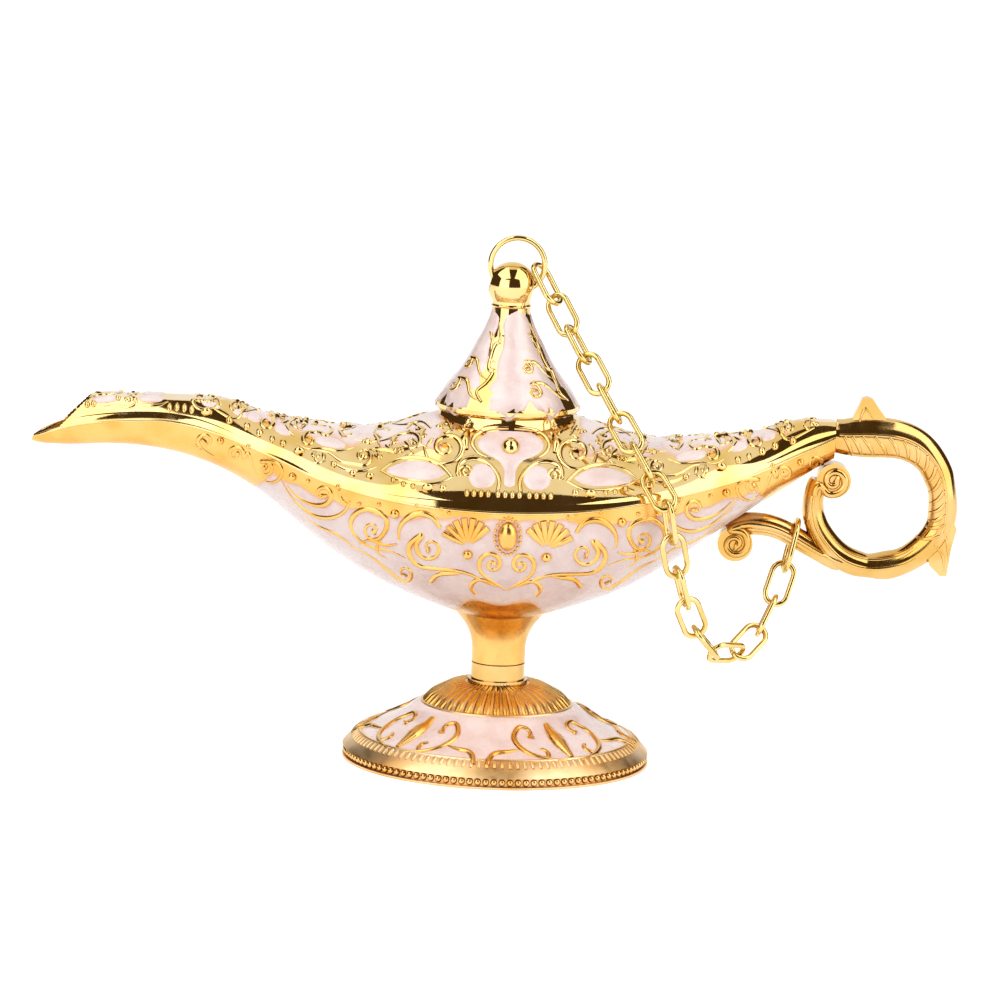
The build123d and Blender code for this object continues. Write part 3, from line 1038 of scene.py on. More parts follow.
def smooth_copy(node: str, name: str) -> Piece:
    """Merged, smooth-shaded copy of a CAD node, which it replaces.

    Args:
        node: the CAD node.
        name: the new piece's name.

    Returns:
        The copy.
    """
    copy = bpy.data.objects.new(name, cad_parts[node].data.copy())
    bpy.context.collection.objects.link(copy)
    select_only(copy)
    with editing():
        bpy.ops.mesh.remove_doubles(threshold=MERGE_REACH * MM)
    if copy.data.has_custom_normals:
        bpy.ops.mesh.customdata_custom_splitnormals_clear()
    bpy.ops.object.shade_smooth_by_angle(angle=math.radians(CREASE))
    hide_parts(node)
    return copy


@dataclass
class HullForm:
    """The boat-shaped hull, from the same named values as the part's solids."""

    spout_reach: float = 102.1
    tail_reach: float = 70.7
    half_beam: float = 31.0
    keel_z: float = 31.0
    rise: float = 48.0
    stations: tuple[tuple[float, ...], ...] = (
        (-1.000, 0.060, 0.780, 0.755, 0.731),
        (-0.982, 0.112, 0.829, 0.777, 0.724),
        (-0.960, 0.150, 0.871, 0.797, 0.722),
        (-0.930, 0.180, 0.915, 0.820, 0.722),
        (-0.882, 0.203, 0.955, 0.845, 0.727),
        (-0.803, 0.213, 0.985, 0.862, 0.733),
        (-0.705, 0.226, 0.993, 0.866, 0.710),
        (-0.607, 0.277, 0.965, 0.825, 0.648),
        (-0.509, 0.419, 0.896, 0.764, 0.535),
        (-0.411, 0.629, 0.862, 0.695, 0.373),
        (-0.313, 0.806, 0.848, 0.646, 0.231),
        (-0.235, 0.906, 0.869, 0.621, 0.146),
        (-0.176, 0.955, 0.912, 0.608, 0.095),
        (-0.108, 0.984, 0.946, 0.598, 0.046),
        (0.000, 1.000, 0.958, 0.592, 0.000),
        (0.156, 0.984, 0.946, 0.598, 0.046),
        (0.255, 0.955, 0.912, 0.608, 0.095),
        (0.339, 0.906, 0.875, 0.622, 0.144),
        (0.453, 0.806, 0.842, 0.648, 0.231),
        (0.594, 0.629, 0.862, 0.686, 0.375),
        (0.735, 0.419, 0.885, 0.733, 0.525),
        (0.849, 0.290, 0.938, 0.798, 0.638),
        (0.934, 0.206, 0.965, 0.850, 0.725),
        (1.000, 0.150, 0.962, 0.893, 0.783),
    )
    belly_top: tuple[Pair, ...] = ((1.0, 0.0), (0.985, 0.10), (0.92, 0.22), (0.72, 0.50), (0.49, 0.80),
                                   (0.22, 0.96))
    spout_top: tuple[Pair, ...] = ((1.0, 0.0), (0.990, 0.18), (0.93, 0.40), (0.75, 0.68), (0.49, 0.88),
                                   (0.22, 0.98))
    bottom: tuple[Pair, ...] = ((1.0, 0.0), (0.960, 0.26), (0.83, 0.56), (0.60, 0.80), (0.30, 0.955))

    def rows(self) -> np.ndarray:
        """The stations at their real sizes.

        Returns:
            Place, half beam, crest, seam and keel of each station in millimetres.
        """
        listed = []
        for along, beam, *heights in self.stations:
            reach = self.spout_reach if along < 0 else self.tail_reach
            listed.append((along * reach, beam * self.half_beam,
                           *(self.keel_z + share * self.rise for share in heights)))
        return np.array(listed)

    def sizes_at(self, x: float) -> np.ndarray:
        """Half beam, crest, seam and keel at a place along the hull."""
        rows = self.rows()
        return spline_through(rows[:, 0], rows[:, 1:], np.array([x]))[0]

    @staticmethod
    def half_places(shares: Sequence[Pair]) -> list[float]:
        """Curve parameters of a whole arc from the chords of its half.

        Args:
            shares: outline of half the arc.

        Returns:
            One parameter from zero to one for each point.
        """
        half = list(shares) + [(0.0, 1.0)]
        steps = [math.dist(a, b) for a, b in zip(half, half[1:])]
        steps += list(reversed(steps))
        places = [0.0]
        for step in steps:
            places.append(places[-1] + step / sum(steps))
        return places

    def arc(self, row: Sequence[float], upper: bool, at: np.ndarray) -> np.ndarray:
        """Points of one station's upper or lower arc.

        Args:
            row: the station.
            upper: whether the arc lies over the seam.
            at: parameters from zero to one, from the -Y side to the +Y side.

        Returns:
            Rows of Y and Z in millimetres.
        """
        _, beam, crest, seam, keel = row
        if upper:
            belly = (beam / self.half_beam) ** 0.5
            shares = [(s[0] + belly * (b[0] - s[0]), s[1] + belly * (b[1] - s[1]))
                      for s, b in zip(self.spout_top, self.belly_top)]
            half = [(-y * beam, seam + z * (crest - seam)) for y, z in shares] + [(0, crest)]
        else:
            half = [(-y * beam, seam - z * (seam - keel)) for y, z in self.bottom] + [(0, keel)]
        points = half + [(-y, z) for y, z in reversed(half[:-1])]
        return spline_through(self.half_places(self.belly_top if upper else self.bottom), points, at)

    def surface(self, upper: bool, along: np.ndarray, across: np.ndarray) -> np.ndarray:
        """Points of the skin.

        Args:
            upper: whether it is the skin over the seam.
            along: places along the hull.
            across: shares of the way across it.

        Returns:
            Grid of places in millimetres.
        """
        rows = self.rows()
        arcs = np.array([self.arc(row, upper, across) for row in rows])
        skin = spline_through(rows[:, 0], arcs, along)
        grid = np.empty((len(along), len(across), 3))
        grid[..., 0] = along[:, None]
        grid[..., 1:] = skin
        return grid


@dataclass
class Skin:
    """One shell of the hull as a fine mesh with its wall."""

    form: HullForm
    upper: bool
    wall: float = 1.5
    cells_along: int = 300
    cells_across: int = 96

    def build(self, name: str) -> Piece:
        """Bend a grid into the shell's outer face.

        Args:
            name: the piece's name.

        Returns:
            The face.
        """
        skin = begin(name, bpy.ops.mesh.primitive_grid_add, x_subdivisions=self.cells_along,
                     y_subdivisions=self.cells_across, size=2.0)
        flat = np.empty(len(skin.data.vertices) * 3)
        skin.data.vertices.foreach_get("co", flat)
        flat = flat.reshape(-1, 3)
        columns, column_of = np.unique(np.round(flat[:, 0], 5), return_inverse=True)
        lines, line_of = np.unique(np.round(flat[:, 1], 5), return_inverse=True)
        ends = (-self.form.spout_reach, self.form.tail_reach)
        along = ends[0] + (columns + 1) / 2 * (ends[1] - ends[0])
        grid = self.form.surface(self.upper, along, (lines + 1) / 2)
        skin.data.vertices.foreach_set("co", (grid[column_of.ravel(), line_of.ravel()] * MM).ravel())
        skin.data.update()
        return skin

    def walled(self, piece: Piece) -> None:
        """Give the shell's face its wall, thinner towards the spout's tip.

        Args:
            piece: the face, normals outwards.
        """
        group = piece.vertex_groups.new(name="wall")
        for vertex in piece.data.vertices:
            share = (vertex.co.x / MM + self.form.spout_reach) / THINNING
            group.add([vertex.index], max(THINNEST_SHARE, min(1.0, share)), "REPLACE")
        solidify = piece.modifiers.new("wall", "SOLIDIFY")
        solidify.thickness = self.wall * MM
        solidify.offset = -1.0
        solidify.vertex_group = "wall"
        select_only(piece)
        bpy.ops.object.modifier_apply(modifier="wall")
        piece.vertex_groups.clear()
        bpy.ops.object.shade_smooth_by_angle(angle=math.radians(SHELL_CREASE))


def face_filter(piece: Piece, drop: Callable[[Vector], bool]) -> None:
    """Delete some faces of a mesh.

    Args:
        piece: the mesh.
        drop: answers yes for the middle of each face to delete, in millimetres.
    """
    select_only(piece)
    bpy.ops.object.mode_set(mode="EDIT")
    bpy.ops.mesh.select_mode(type="FACE")
    bpy.ops.mesh.select_all(action="DESELECT")
    bpy.ops.object.mode_set(mode="OBJECT")
    for polygon in piece.data.polygons:
        polygon.select = bool(drop(polygon.center / MM))
    bpy.ops.object.mode_set(mode="EDIT")
    bpy.ops.mesh.delete(type="FACE")
    bpy.ops.object.mode_set(mode="OBJECT")


def outward(piece: Piece, way: Vector) -> None:
    """Turn a single skin over when most of its area faces the wrong way.

    Args:
        piece: the skin.
        way: the direction that it should face.
    """
    lean = sum((p.normal.dot(way) * p.area for p in piece.data.polygons), 0.0)
    if lean < 0:
        piece.data.flip_normals()


def turned(name: str, outline: Sequence[Pair], steps: int = TURNED_STEPS) -> Piece:
    """Spin a closed outline about the Z axis.

    Args:
        name: the piece's name.
        outline: radii and heights in millimetres.
        steps: number of steps round.

    Returns:
        The turned piece.
    """
    ring = begin(name, bpy.ops.mesh.primitive_circle_add, vertices=len(outline), radius=1.0)
    for vertex, (radius, height) in zip(ring.data.vertices, outline):
        vertex.co = Vector((radius, 0, height)) * MM
    with editing():
        bpy.ops.mesh.spin(steps=steps, angle=math.tau, center=(0, 0, 0), axis=(0, 0, 1))
        bpy.ops.mesh.select_all(action="SELECT")
        bpy.ops.mesh.remove_doubles(threshold=TURNED_MERGE_REACH * MM)
        bpy.ops.mesh.normals_make_consistent(inside=False)
    bpy.ops.object.shade_smooth_by_angle(angle=math.radians(CREASE))
    return ring


def paint(piece: Piece, inside: np.ndarray | float) -> None:
    """Write the enamel attribute, which is a half on the enamel's edge.

    Args:
        piece: the mesh.
        inside: how far each vertex lies inside the enamelled field, in millimetres.
    """
    layer = piece.data.attributes.new("enamel", "FLOAT", "POINT")
    depth = np.broadcast_to(np.asarray(inside, dtype=float), (len(piece.data.vertices),))
    layer.data.foreach_set("value", np.clip(0.5 + depth * MASK_SLOPE, 0, 1))


def places_of(piece: Piece) -> np.ndarray:
    """Vertices of a mesh.

    Args:
        piece: the mesh.

    Returns:
        Rows of millimetres.
    """
    flat = np.empty(len(piece.data.vertices) * 3)
    piece.data.vertices.foreach_get("co", flat)
    return flat.reshape(-1, 3) / MM


@dataclass
class UpperShell:
    """Top casting: shoulder, collar and roof of the spout.

    Starts and ends of the enamel are distances from the ornament's middle line, and its lower edges are
    shares of the way from seam to crest.
    """

    form: HullForm
    mouth_share: float = 0.942
    mouth_slant: float = 46.0
    collar_radius: float = 15.2
    collar_flare: float = 0.55
    collar_edge: float = 0.35
    bore_radius: float = 13.2
    hole_margin: float = 0.9
    collar_top: float = 76.8
    collar_low: float = 70.8
    centre: float = 1.0
    flank_start: float = 14.6
    flank_low_share: float = 0.62
    flank_climb_share: float = 0.018
    overlap: float = 1.0
    crest_start: float = 23.5
    crest_end: float = 60.0
    crest_low_share: float = 0.80
    crest_wave_share: float = 0.05
    wave_pitch: float = 0.8
    least_rise: float = 1.0

    def skin(self) -> Piece:
        """The shell without collar or ornament, cut off at the spout's mouth.

        Returns:
            The shell with its wall.
        """
        shell = Skin(self.form, True)
        skin = shell.build("upper_skin")
        outward(skin, Vector((0, 0, 1)))
        keep = self.bore_radius + self.hole_margin
        face_filter(skin, lambda c: math.hypot(c.x, c.y) < keep)
        for vertex in skin.data.vertices:
            vertex.co.z = min(vertex.co.z, self.collar_top * MM)
        foot_x = -self.form.spout_reach * self.mouth_share
        foot_z = self.form.sizes_at(foot_x)[2]
        lean = math.radians(self.mouth_slant)
        select_only(skin)
        with editing():
            bpy.ops.mesh.bisect(plane_co=(foot_x * MM, 0, foot_z * MM),
                                plane_no=(-math.sin(lean), 0, math.cos(lean)), clear_outer=True)
        shell.walled(skin)
        return skin

    def collar(self) -> Piece:
        """Plain turned collar round the filling hole.

        Returns:
            The collar.
        """
        low, top, edge = self.collar_low, self.collar_top, self.collar_edge
        foot, lip = self.collar_radius + self.collar_flare, self.collar_radius - self.collar_flare
        return turned("collar", [(self.bore_radius, low), (foot, low), (lip, top - edge), (lip - edge, top),
                                 (self.bore_radius + edge, top), (self.bore_radius, top - edge)])

    def enamelled(self, spots: np.ndarray) -> np.ndarray:
        """How far places lie inside the enamel beside the collar and along the crest.

        Args:
            spots: rows of millimetres.

        Returns:
            One distance for each place, less than zero outside.
        """
        x, _, z = spots.T
        rows = self.form.rows()
        _, crest, seam, _ = spline_through(rows[:, 0], rows[:, 1:], x).T
        rise = np.maximum(crest - seam, self.least_rise)
        beside = np.abs(x - self.centre)
        climb = self.flank_climb_share * (beside - self.flank_start)
        wave = self.crest_wave_share * np.sin(x * self.wave_pitch)
        flank = np.minimum.reduce([beside - self.flank_start, self.crest_start + self.overlap - beside,
                                   z - seam - rise * (self.flank_low_share + climb)])
        top = np.minimum.reduce([beside - self.crest_start, self.crest_end - beside,
                                 z - seam - rise * (self.crest_low_share + wave)])
        return np.maximum(flank, top)

    def build(self) -> Piece:
        """Skin and collar as one piece that stands for the CAD node.

        Returns:
            The piece.
        """
        skin = self.skin()
        paint(skin, self.enamelled(places_of(skin)))
        collar = self.collar()
        paint(collar, -1.0)
        piece = join("upper_shell_skin", [collar, skin])
        finish = replace(ENAMEL, name="upper_shell_enamel_on_gold", mask="enamel", slot=Slot.POLISHED)
        dress(piece, finish)
        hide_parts("upper_shell")
        return piece


@dataclass
class LowerShell:
    """Bottom casting: bowl, underside of the spout and stem.

    The flare is radii and heights from the neck up. The root is the bare gold over the stem, an oval with
    lobes. The gold band under the seam starts to widen at one distance from the middle and takes another
    to do it. The enamel's ends lean along the hull for each millimetre down.
    """

    form: HullForm
    stem_radius: float = 5.83
    stem_low: float = 21.3
    flare: tuple[Pair, ...] = ((5.83, 24.6), (6.1, 26.4), (6.8, 28.5), (8.0, 30.4), (9.3, 32.1), (10.4, 33.6))
    screw_bore: float = 2.05
    line_depth: float = 0.25
    line_height: float = 0.25
    line_edge: float = 0.05
    stem_sunk: float = 0.6
    stem_steps: int = 80
    centre: float = 1.0
    root_along: float = 13.0
    root_across: float = 20.5
    root_lobes: int = 10
    root_lobe_share: float = 0.06
    seam_band: float = 1.8
    band_more: float = 2.0
    band_widens: Pair = (12.0, 14.0)
    band_wave: float = 0.35
    wave_pitch: float = 0.9
    enamel_ends: Pair = (-52.0, 56.0)
    end_lean: float = 0.7
    end_inset: float = 5.0

    def stem(self) -> Piece:
        """Turned stem that flares into the bowl.

        Returns:
            The stem.
        """
        outline = [(self.screw_bore, self.stem_low), (self.stem_radius - self.line_depth, self.stem_low),
                   (self.stem_radius - self.line_edge, self.stem_low + self.line_height),
                   *smooth_run(self.flare), (self.screw_bore, self.form.keel_z + self.stem_sunk)]
        return turned("stem", outline, self.stem_steps)

    def enamelled(self, spots: np.ndarray) -> np.ndarray:
        """How far places lie inside the bowl's enamel, between its gold band, ends and root.

        Args:
            spots: rows of millimetres.

        Returns:
            One distance for each place, less than zero outside.
        """
        x, y, z = spots.T
        rows = self.form.rows()
        below = spline_through(rows[:, 0], rows[:, 3], x) - z
        start, reach = self.band_widens
        widen = np.clip((np.abs(x - self.centre) - start) / reach, 0, 1)
        band = self.seam_band + self.band_more * widen + self.band_wave * np.sin(x * self.wave_pitch)
        lobes = self.root_lobe_share * np.cos(np.arctan2(y, x) * self.root_lobes)
        root = np.hypot(x / self.root_along, y / self.root_across) - 1 - lobes
        inset = self.end_lean * below - self.end_inset
        return np.minimum.reduce([below - band, x - self.enamel_ends[0] + inset,
                                  self.enamel_ends[1] - x + inset, root * self.root_along])

    def build(self) -> Piece:
        """Skin and stem as one piece that stands for the CAD node.

        Returns:
            The piece.
        """
        shell = Skin(self.form, False)
        skin = shell.build("lower_skin")
        outward(skin, Vector((0, 0, -1)))
        shell.walled(skin)
        paint(skin, self.enamelled(places_of(skin)))
        stem = self.stem()
        paint(stem, -1.0)
        piece = join("lower_shell_skin", [stem, skin])
        finish = replace(ENAMEL, name="lower_shell_enamel_on_gold", plate=SATIN, mask="enamel")
        dress(piece, finish)
        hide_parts("lower_shell")
        return piece


@dataclass
class LowerOrnament:
    """Raised satin-gold scrolls, fans and beads on the bowl, the same on front and back.

    The stone is height, half width and half height, and the ring of beads round it half width and half
    height. The fan's angles are degrees. Sink and proud are shares of a ridge's or bead's width.
    """

    centre: float = 1.05
    heft: float = 1.35
    sink_share: float = 0.4
    proud_share: float = 0.05
    stone: Triple = (49.1, 2.1, 3.2)
    bead_ring: Pair = (2.75, 3.9)
    ring_beads: int = 20
    bead_size: float = 0.36
    fan_apex: Pair = (8.3, 46.6)
    fan_ribs: int = 7
    fan_start: float = 28.0
    fan_pitch: float = 17.5
    fan_reach: float = 6.0
    fan_bulge: float = 0.5
    fan_squash: float = 0.95

    def ridges(self) -> list[Ridge]:
        """Scrolls to the right of the middle; heights are as seen, in millimetres.

        Returns:
            The ridges, measured from the middle line.
        """
        heart = [*curl((3.0, 43.0), 1.7, 1.1, 150, -1), (2.5, 45.0), (4.2, 45.1), (5.7, 43.6), (5.6, 41.6),
                 (3.6, 39.6), (1.4, 38.3), (0.2, 37.5)]
        main = [*curl((16.3, 46.0), 3.2, 1.35, 55, 1), (20.3, 47.0), (20.7, 44.4), (19.2, 42.4), (16.4, 41.6),
                (11.9, 41.4), (7.4, 40.5), (4.4, 39.1), (1.8, 38.3)]
        second = [*curl((28.6, 49.4), 2.4, 1.2, 200, -1), (25.7, 51.6), (28.4, 53.6), (31.8, 53.2),
                  (33.4, 50.6), (32.2, 47.8), (28.6, 45.6), (24.8, 44.9), (21.6, 43.6)]
        tendril = [*curl((21.7, 40.2), 1.8, 1.1, 250, 1), (23.4, 39.3), (26.6, 41.9), (30.4, 44.4),
                   (33.0, 45.7)]
        third = [*curl((39.6, 56.6), 2.2, 1.2, 250, 1), (41.8, 54.4), (44.6, 55.6), (47.4, 58.2)]
        over = [(33.6, 55.4), (34.8, 53.2), (37.2, 51.8), (41.0, 51.9), (44.2, 53.8), (47.0, 56.6),
                (48.6, 59.2)]
        fourth = [*curl((52.2, 61.6), 1.9, 1.2, 60, -1), (50.2, 63.2), (48.6, 60.6), (50.6, 58.8),
                  (54.6, 60.8)]
        fifth = [*curl((58.9, 64.6), 2.0, 1.2, 200, 1), (56.4, 64.9), (55.2, 62.4), (53.6, 59.8)]
        last = [*curl((65.4, 67.2), 1.9, 1.3, 300, -1), (67.2, 66.2), (64.8, 64.6), (61.6, 63.6)]
        return [
            Ridge(heart, 0.44, 0.5, 0.4, 1.2),
            Ridge(main, 0.52, 0.4, 0.5, 1.5),
            Ridge([(15.9, 38.7), (14.8, 40.0), (12.0, 40.6), (8.9, 40.9)], 0.5, 0.9, 0.3),
            Ridge([(6.4, 36.4), (7.4, 37.8), (6.2, 39.4), (4.3, 39.3), (2.2, 38.4)], 0.45, 0.8, 0.3),
            Ridge([(14.4, 50.4), (15.6, 52.2), (18.2, 53.3), (21.3, 52.2), (23.0, 49.6), (22.9, 47.4)], 0.6,
                  0.6, 0.3),
            Ridge(second, 0.5, 0.4, 0.3, 1.4),
            Ridge([(23.4, 46.6), (26.0, 46.2), (29.4, 47.1), (31.6, 46.2)], 0.4, 0.4, 0.3),
            Ridge(tendril, 0.44, 0.4, 0.3, 1.3),
            Ridge(third, 0.5, 0.4, 0.3, 1.5),
            Ridge(over, 0.45, 0.5, 0.3),
            Ridge(fourth, 0.45, 0.4, 0.3, 1.5),
            Ridge(fifth, 0.45, 0.4, 0.3, 1.5),
            Ridge(last, 0.42, 0.4, 0.3, 1.5),
            Ridge([(33.0, 45.7), (36.2, 48.0), (40.2, 49.6), (44.0, 52.2)], 0.35, 0.6, 0.2),
            Ridge([(26.8, 47.4), (27.6, 45.0), (25.4, 43.2)], 0.32, 0.5, 0.2),
            Ridge([(36.0, 57.6), (35.4, 55.6), (33.8, 54.6)], 0.4, 0.9, 0.3),
        ]

    def fans(self) -> list[Ridge]:
        """Ribs of the fan right of the middle, spreading upwards from its apex.

        Returns:
            The ribs, each from its tip inwards.
        """
        x, z = self.fan_apex
        ribs = []
        for number in range(self.fan_ribs):
            turn = math.radians(self.fan_start + number * self.fan_pitch)
            reach = self.fan_reach + self.fan_bulge * math.sin(number / (self.fan_ribs - 1) * math.pi)
            tip = (x + reach * math.cos(turn), z + reach * self.fan_squash * math.sin(turn))
            near = (x + math.cos(turn), z + math.sin(turn))
            middle = ((near[0] + tip[0]) / 2, (near[1] + tip[1]) / 2)
            ribs.append(Ridge([tip, middle, near], 0.6, 1.0, 0.35, 1.1))
        return ribs

    def beads(self) -> list[Bead]:
        """Balls and drops, as place, half width and half height.

        Returns:
            The middle's stone and its ring of beads, then the balls of both sides.
        """
        height, across, up = self.stone
        rows = [(self.centre, height, across, up)]
        for number in range(self.ring_beads):
            turn = math.tau * number / self.ring_beads
            rows.append((self.centre + self.bead_ring[0] * math.sin(turn),
                         height + self.bead_ring[1] * math.cos(turn), self.bead_size, self.bead_size))
        balls = ((8.3, 44.9, 1.05), (24.0, 53.0, 1.0), (12.6, 53.6, 0.45), (14.2, 54.4, 0.4),
                 (27.4, 54.9, 0.5), (31.6, 54.9, 0.45), (36.2, 58.4, 0.6), (46.2, 60.2, 0.9),
                 (56.0, 66.4, 0.6), (62.2, 67.4, 0.8), (19.4, 55.0, 0.45), (42.8, 59.4, 0.5))
        for side in (-1, 1):
            rows += [(self.centre + side * x, z, size, size) for x, z, size in balls]
        return rows

    def build(self, shell: Piece) -> None:
        """Lay the drawing on both sides of the bowl.

        Args:
            shell: the bowl.
        """
        tree = tree_of(shell)
        ridges = mirrored(self.ridges() + self.fans(), self.centre)
        for side, word in ((FRONT, "front"), (BACK, "back")):
            ground = FrontGround(tree, side)
            scrolls = wires(f"bowl_scrolls_{word}", ridge_runs(ridges, ground, self.sink_share, self.heft))
            dress(scrolls, SATIN)
            balls = stamp(f"bowl_beads_{word}", bead_blank(3),
                          beads_on(self.beads(), ground, self.proud_share))
            dress(balls, SATIN)


@dataclass
class SeamLine:
    """Thin lip that runs round the hull where the shells meet."""

    form: HullForm
    reach_share: float = 0.985
    inset: float = 0.12
    drop: float = 0.25
    width: float = 0.34
    samples: int = 200

    def build(self) -> None:
        """Lay a wire along the widest line on both sides."""
        rows = self.form.rows()
        along = np.linspace(-self.form.spout_reach * self.reach_share, self.form.tail_reach, self.samples)
        sizes = spline_through(rows[:, 0], rows[:, 1:], along)
        runs = [[(Vector((x, side * (size[0] - self.inset), size[2] - self.drop)) * MM, self.width)
                 for x, size in zip(along, sizes)] for side in (FRONT, BACK)]
        dress(wires("seam_lip", runs), POLISHED)


@dataclass
class UpperOrnament:
    """Polished scrolls, pink cushions and teeth on the shoulder and the spout's roof.

    Boss and tooth are height, half width and half height. Sink and proud are shares of a ridge's or
    bead's width.
    """

    centre: float = 1.0
    heft: float = 1.3
    sink_share: float = 0.35
    proud_share: float = 0.05
    sprig_growth: float = 1.25
    boss: Triple = (68.2, 1.9, 2.3)
    tooth: Triple = (58.1, 0.5, 1.05)
    tooth_pitch: float = 1.5
    tooth_starts: tuple[float, ...] = (-8.9, -2.3, 4.3)
    group: int = 4

    def ridges(self) -> list[Ridge]:
        """Scrolls right of the middle; heights are as seen, in millimetres.

        Returns:
            The ridges, measured from the middle line.
        """
        big = [*curl((9.3, 62.6), 1.7, 1.3, 330, -1), (10.9, 62.9), (10.2, 64.8), (8.0, 65.6), (5.6, 65.2),
               (3.4, 63.4), (2.2, 61.0), (2.5, 58.6)]
        side = [*curl((13.9, 67.8), 2.4, 1.2, 100, 1), (12.4, 70.2), (10.4, 68.4), (10.9, 65.7), (13.6, 64.2),
                (17.2, 64.9), (18.4, 67.6)]
        outer = [*curl((31.4, 65.2), 2.0, 1.2, 250, 1), (32.6, 63.4), (35.6, 63.8), (38.6, 65.6),
                 (42.4, 66.2)]
        high = [*curl((21.0, 68.6), 1.5, 1.2, 200, -1), (19.6, 69.8), (22.2, 70.6), (25.6, 69.4),
                (29.4, 68.4), (33.4, 68.8)]
        far = [*curl((43.0, 68.4), 1.8, 1.2, 120, 1), (41.4, 70.2), (39.6, 69.4), (38.4, 70.6), (41.8, 71.6)]
        tail = [*curl((52.6, 71.8), 1.6, 1.2, 170, -1), (51.2, 73.2), (54.2, 74.6), (57.4, 74.0)]
        end = [*curl((59.4, 74.9), 1.7, 1.2, 200, 1), (57.4, 75.4), (58.2, 73.0), (61.8, 73.2), (65.0, 75.0)]
        return [
            Ridge(big, 0.6, 0.5, 0.6, 1.3),
            Ridge([(0.6, 72.4), (3.6, 72.3), (6.9, 71.2), (8.2, 69.2), (7.0, 67.0), (4.9, 66.0)], 0.5, 0.6,
                  0.5),
            Ridge(side, 0.62, 0.5, 0.4, 1.4),
            Ridge([(9.2, 71.6), (9.8, 69.6), (9.4, 67.4)], 0.9, 0.6, 0.5),
            Ridge([(12.2, 61.4), (14.6, 63.8), (19.6, 65.3), (24.6, 64.4), (27.4, 62.2)], 0.5, 0.6, 0.4),
            Ridge([(12.2, 61.4), (15.2, 60.0), (19.2, 59.7), (23.4, 60.4), (27.4, 62.2)], 0.5, 0.6, 0.4),
            Ridge(outer, 0.5, 0.5, 0.3, 1.4),
            Ridge(high, 0.45, 0.5, 0.3, 1.4),
            Ridge(far, 0.48, 0.5, 0.3, 1.4),
            Ridge(tail, 0.45, 0.5, 0.3, 1.4),
            Ridge(end, 0.45, 0.5, 0.3, 1.4),
            Ridge([(28.4, 63.0), (31.8, 61.9), (35.2, 62.4), (38.2, 64.0)], 0.6, 0.4, 0.3),
            Ridge([(33.6, 67.0), (36.6, 66.2), (40.4, 66.6), (43.6, 66.4), (45.6, 67.4)], 0.42, 0.5, 0.3),
            Ridge([(46.4, 69.0), (48.0, 71.6), (46.6, 73.0)], 0.5, 0.5, 0.3),
            Ridge([(17.2, 71.8), (19.0, 73.2), (22.2, 72.6), (25.6, 72.6)], 0.4, 0.5, 0.3),
            Ridge([(24.6, 66.2), (27.2, 66.8), (29.2, 66.4)], 0.55, 0.4, 0.4),
        ]

    def pads(self) -> list[Pad]:
        """Pink cushions right of the middle.

        Returns:
            The cushions, measured from the middle line.
        """
        return [
            Pad(oval((5.8, 61.8), 3.1, 2.8), 0.55),
            Pad([(13.4, 62.0), (16.4, 64.2), (20.4, 64.7), (24.2, 63.8), (26.4, 62.2), (23.2, 60.9),
                 (18.8, 60.4), (15.4, 60.8)], 0.5),
            Pad(oval((26.4, 70.7), 2.6, 0.9, -8), 0.4),
            Pad(oval((38.6, 67.9), 3.6, 1.2, 12), 0.45),
            Pad(oval((48.8, 70.3), 2.2, 1.1, 18), 0.4),
            Pad(oval((55.2, 72.8), 1.7, 1.0, 24), 0.4),
            Pad(oval((34.2, 70.3), 2.2, 0.9, 4), 0.4),
        ]

    def shield(self) -> Pad:
        """Pink shield in the middle under the collar.

        Returns:
            The cushion.
        """
        return Pad([(0.0, 71.9), (3.6, 71.8), (6.4, 70.6), (7.3, 68.8), (5.6, 66.7), (2.6, 65.2),
                    (1.3, 62.4), (0.9, 59.6), (-0.9, 59.6), (-1.3, 62.4), (-2.6, 65.2), (-5.6, 66.7),
                    (-7.3, 68.8), (-6.4, 70.6), (-3.6, 71.8)], 0.5)

    def spout_pads(self) -> list[Pad]:
        """Pink cushions on the spout's roof.

        Returns:
            The cushions.
        """
        return [
            Pad(oval((-86.4, 75.6), 3.4, 0.95, 7), 0.5),
            Pad(oval((-76.6, 76.0), 2.8, 0.85, 1), 0.5),
            Pad(oval((-63.6, 75.2), 2.2, 0.8, -14), 0.4),
            Pad(oval((-57.2, 73.6), 1.9, 0.8, -22), 0.4),
        ]

    def spout_ridges(self) -> list[Ridge]:
        """Scrolls on the spout's roof.

        Returns:
            The ridges.
        """
        first = [*curl((-81.2, 75.8), 1.2, 1.1, 20, -1), (-79.8, 74.8), (-81.4, 74.0), (-83.8, 74.4),
                 (-86.6, 74.0)]
        second = [*curl((-66.2, 76.4), 1.4, 1.2, 200, 1), (-67.4, 75.4), (-65.6, 74.2), (-63.2, 74.6),
                  (-61.4, 75.4)]
        return [
            Ridge(first, 0.42, 0.5, 0.3, 1.4),
            Ridge(second, 0.45, 0.5, 0.3, 1.4),
            Ridge([(-90.4, 74.6), (-88.8, 76.2), (-86.0, 76.7), (-83.4, 76.4)], 0.4, 0.5, 0.3),
            Ridge([(-79.6, 74.8), (-77.6, 74.6), (-74.6, 74.7), (-72.8, 75.6)], 0.45, 0.4, 0.3),
        ]

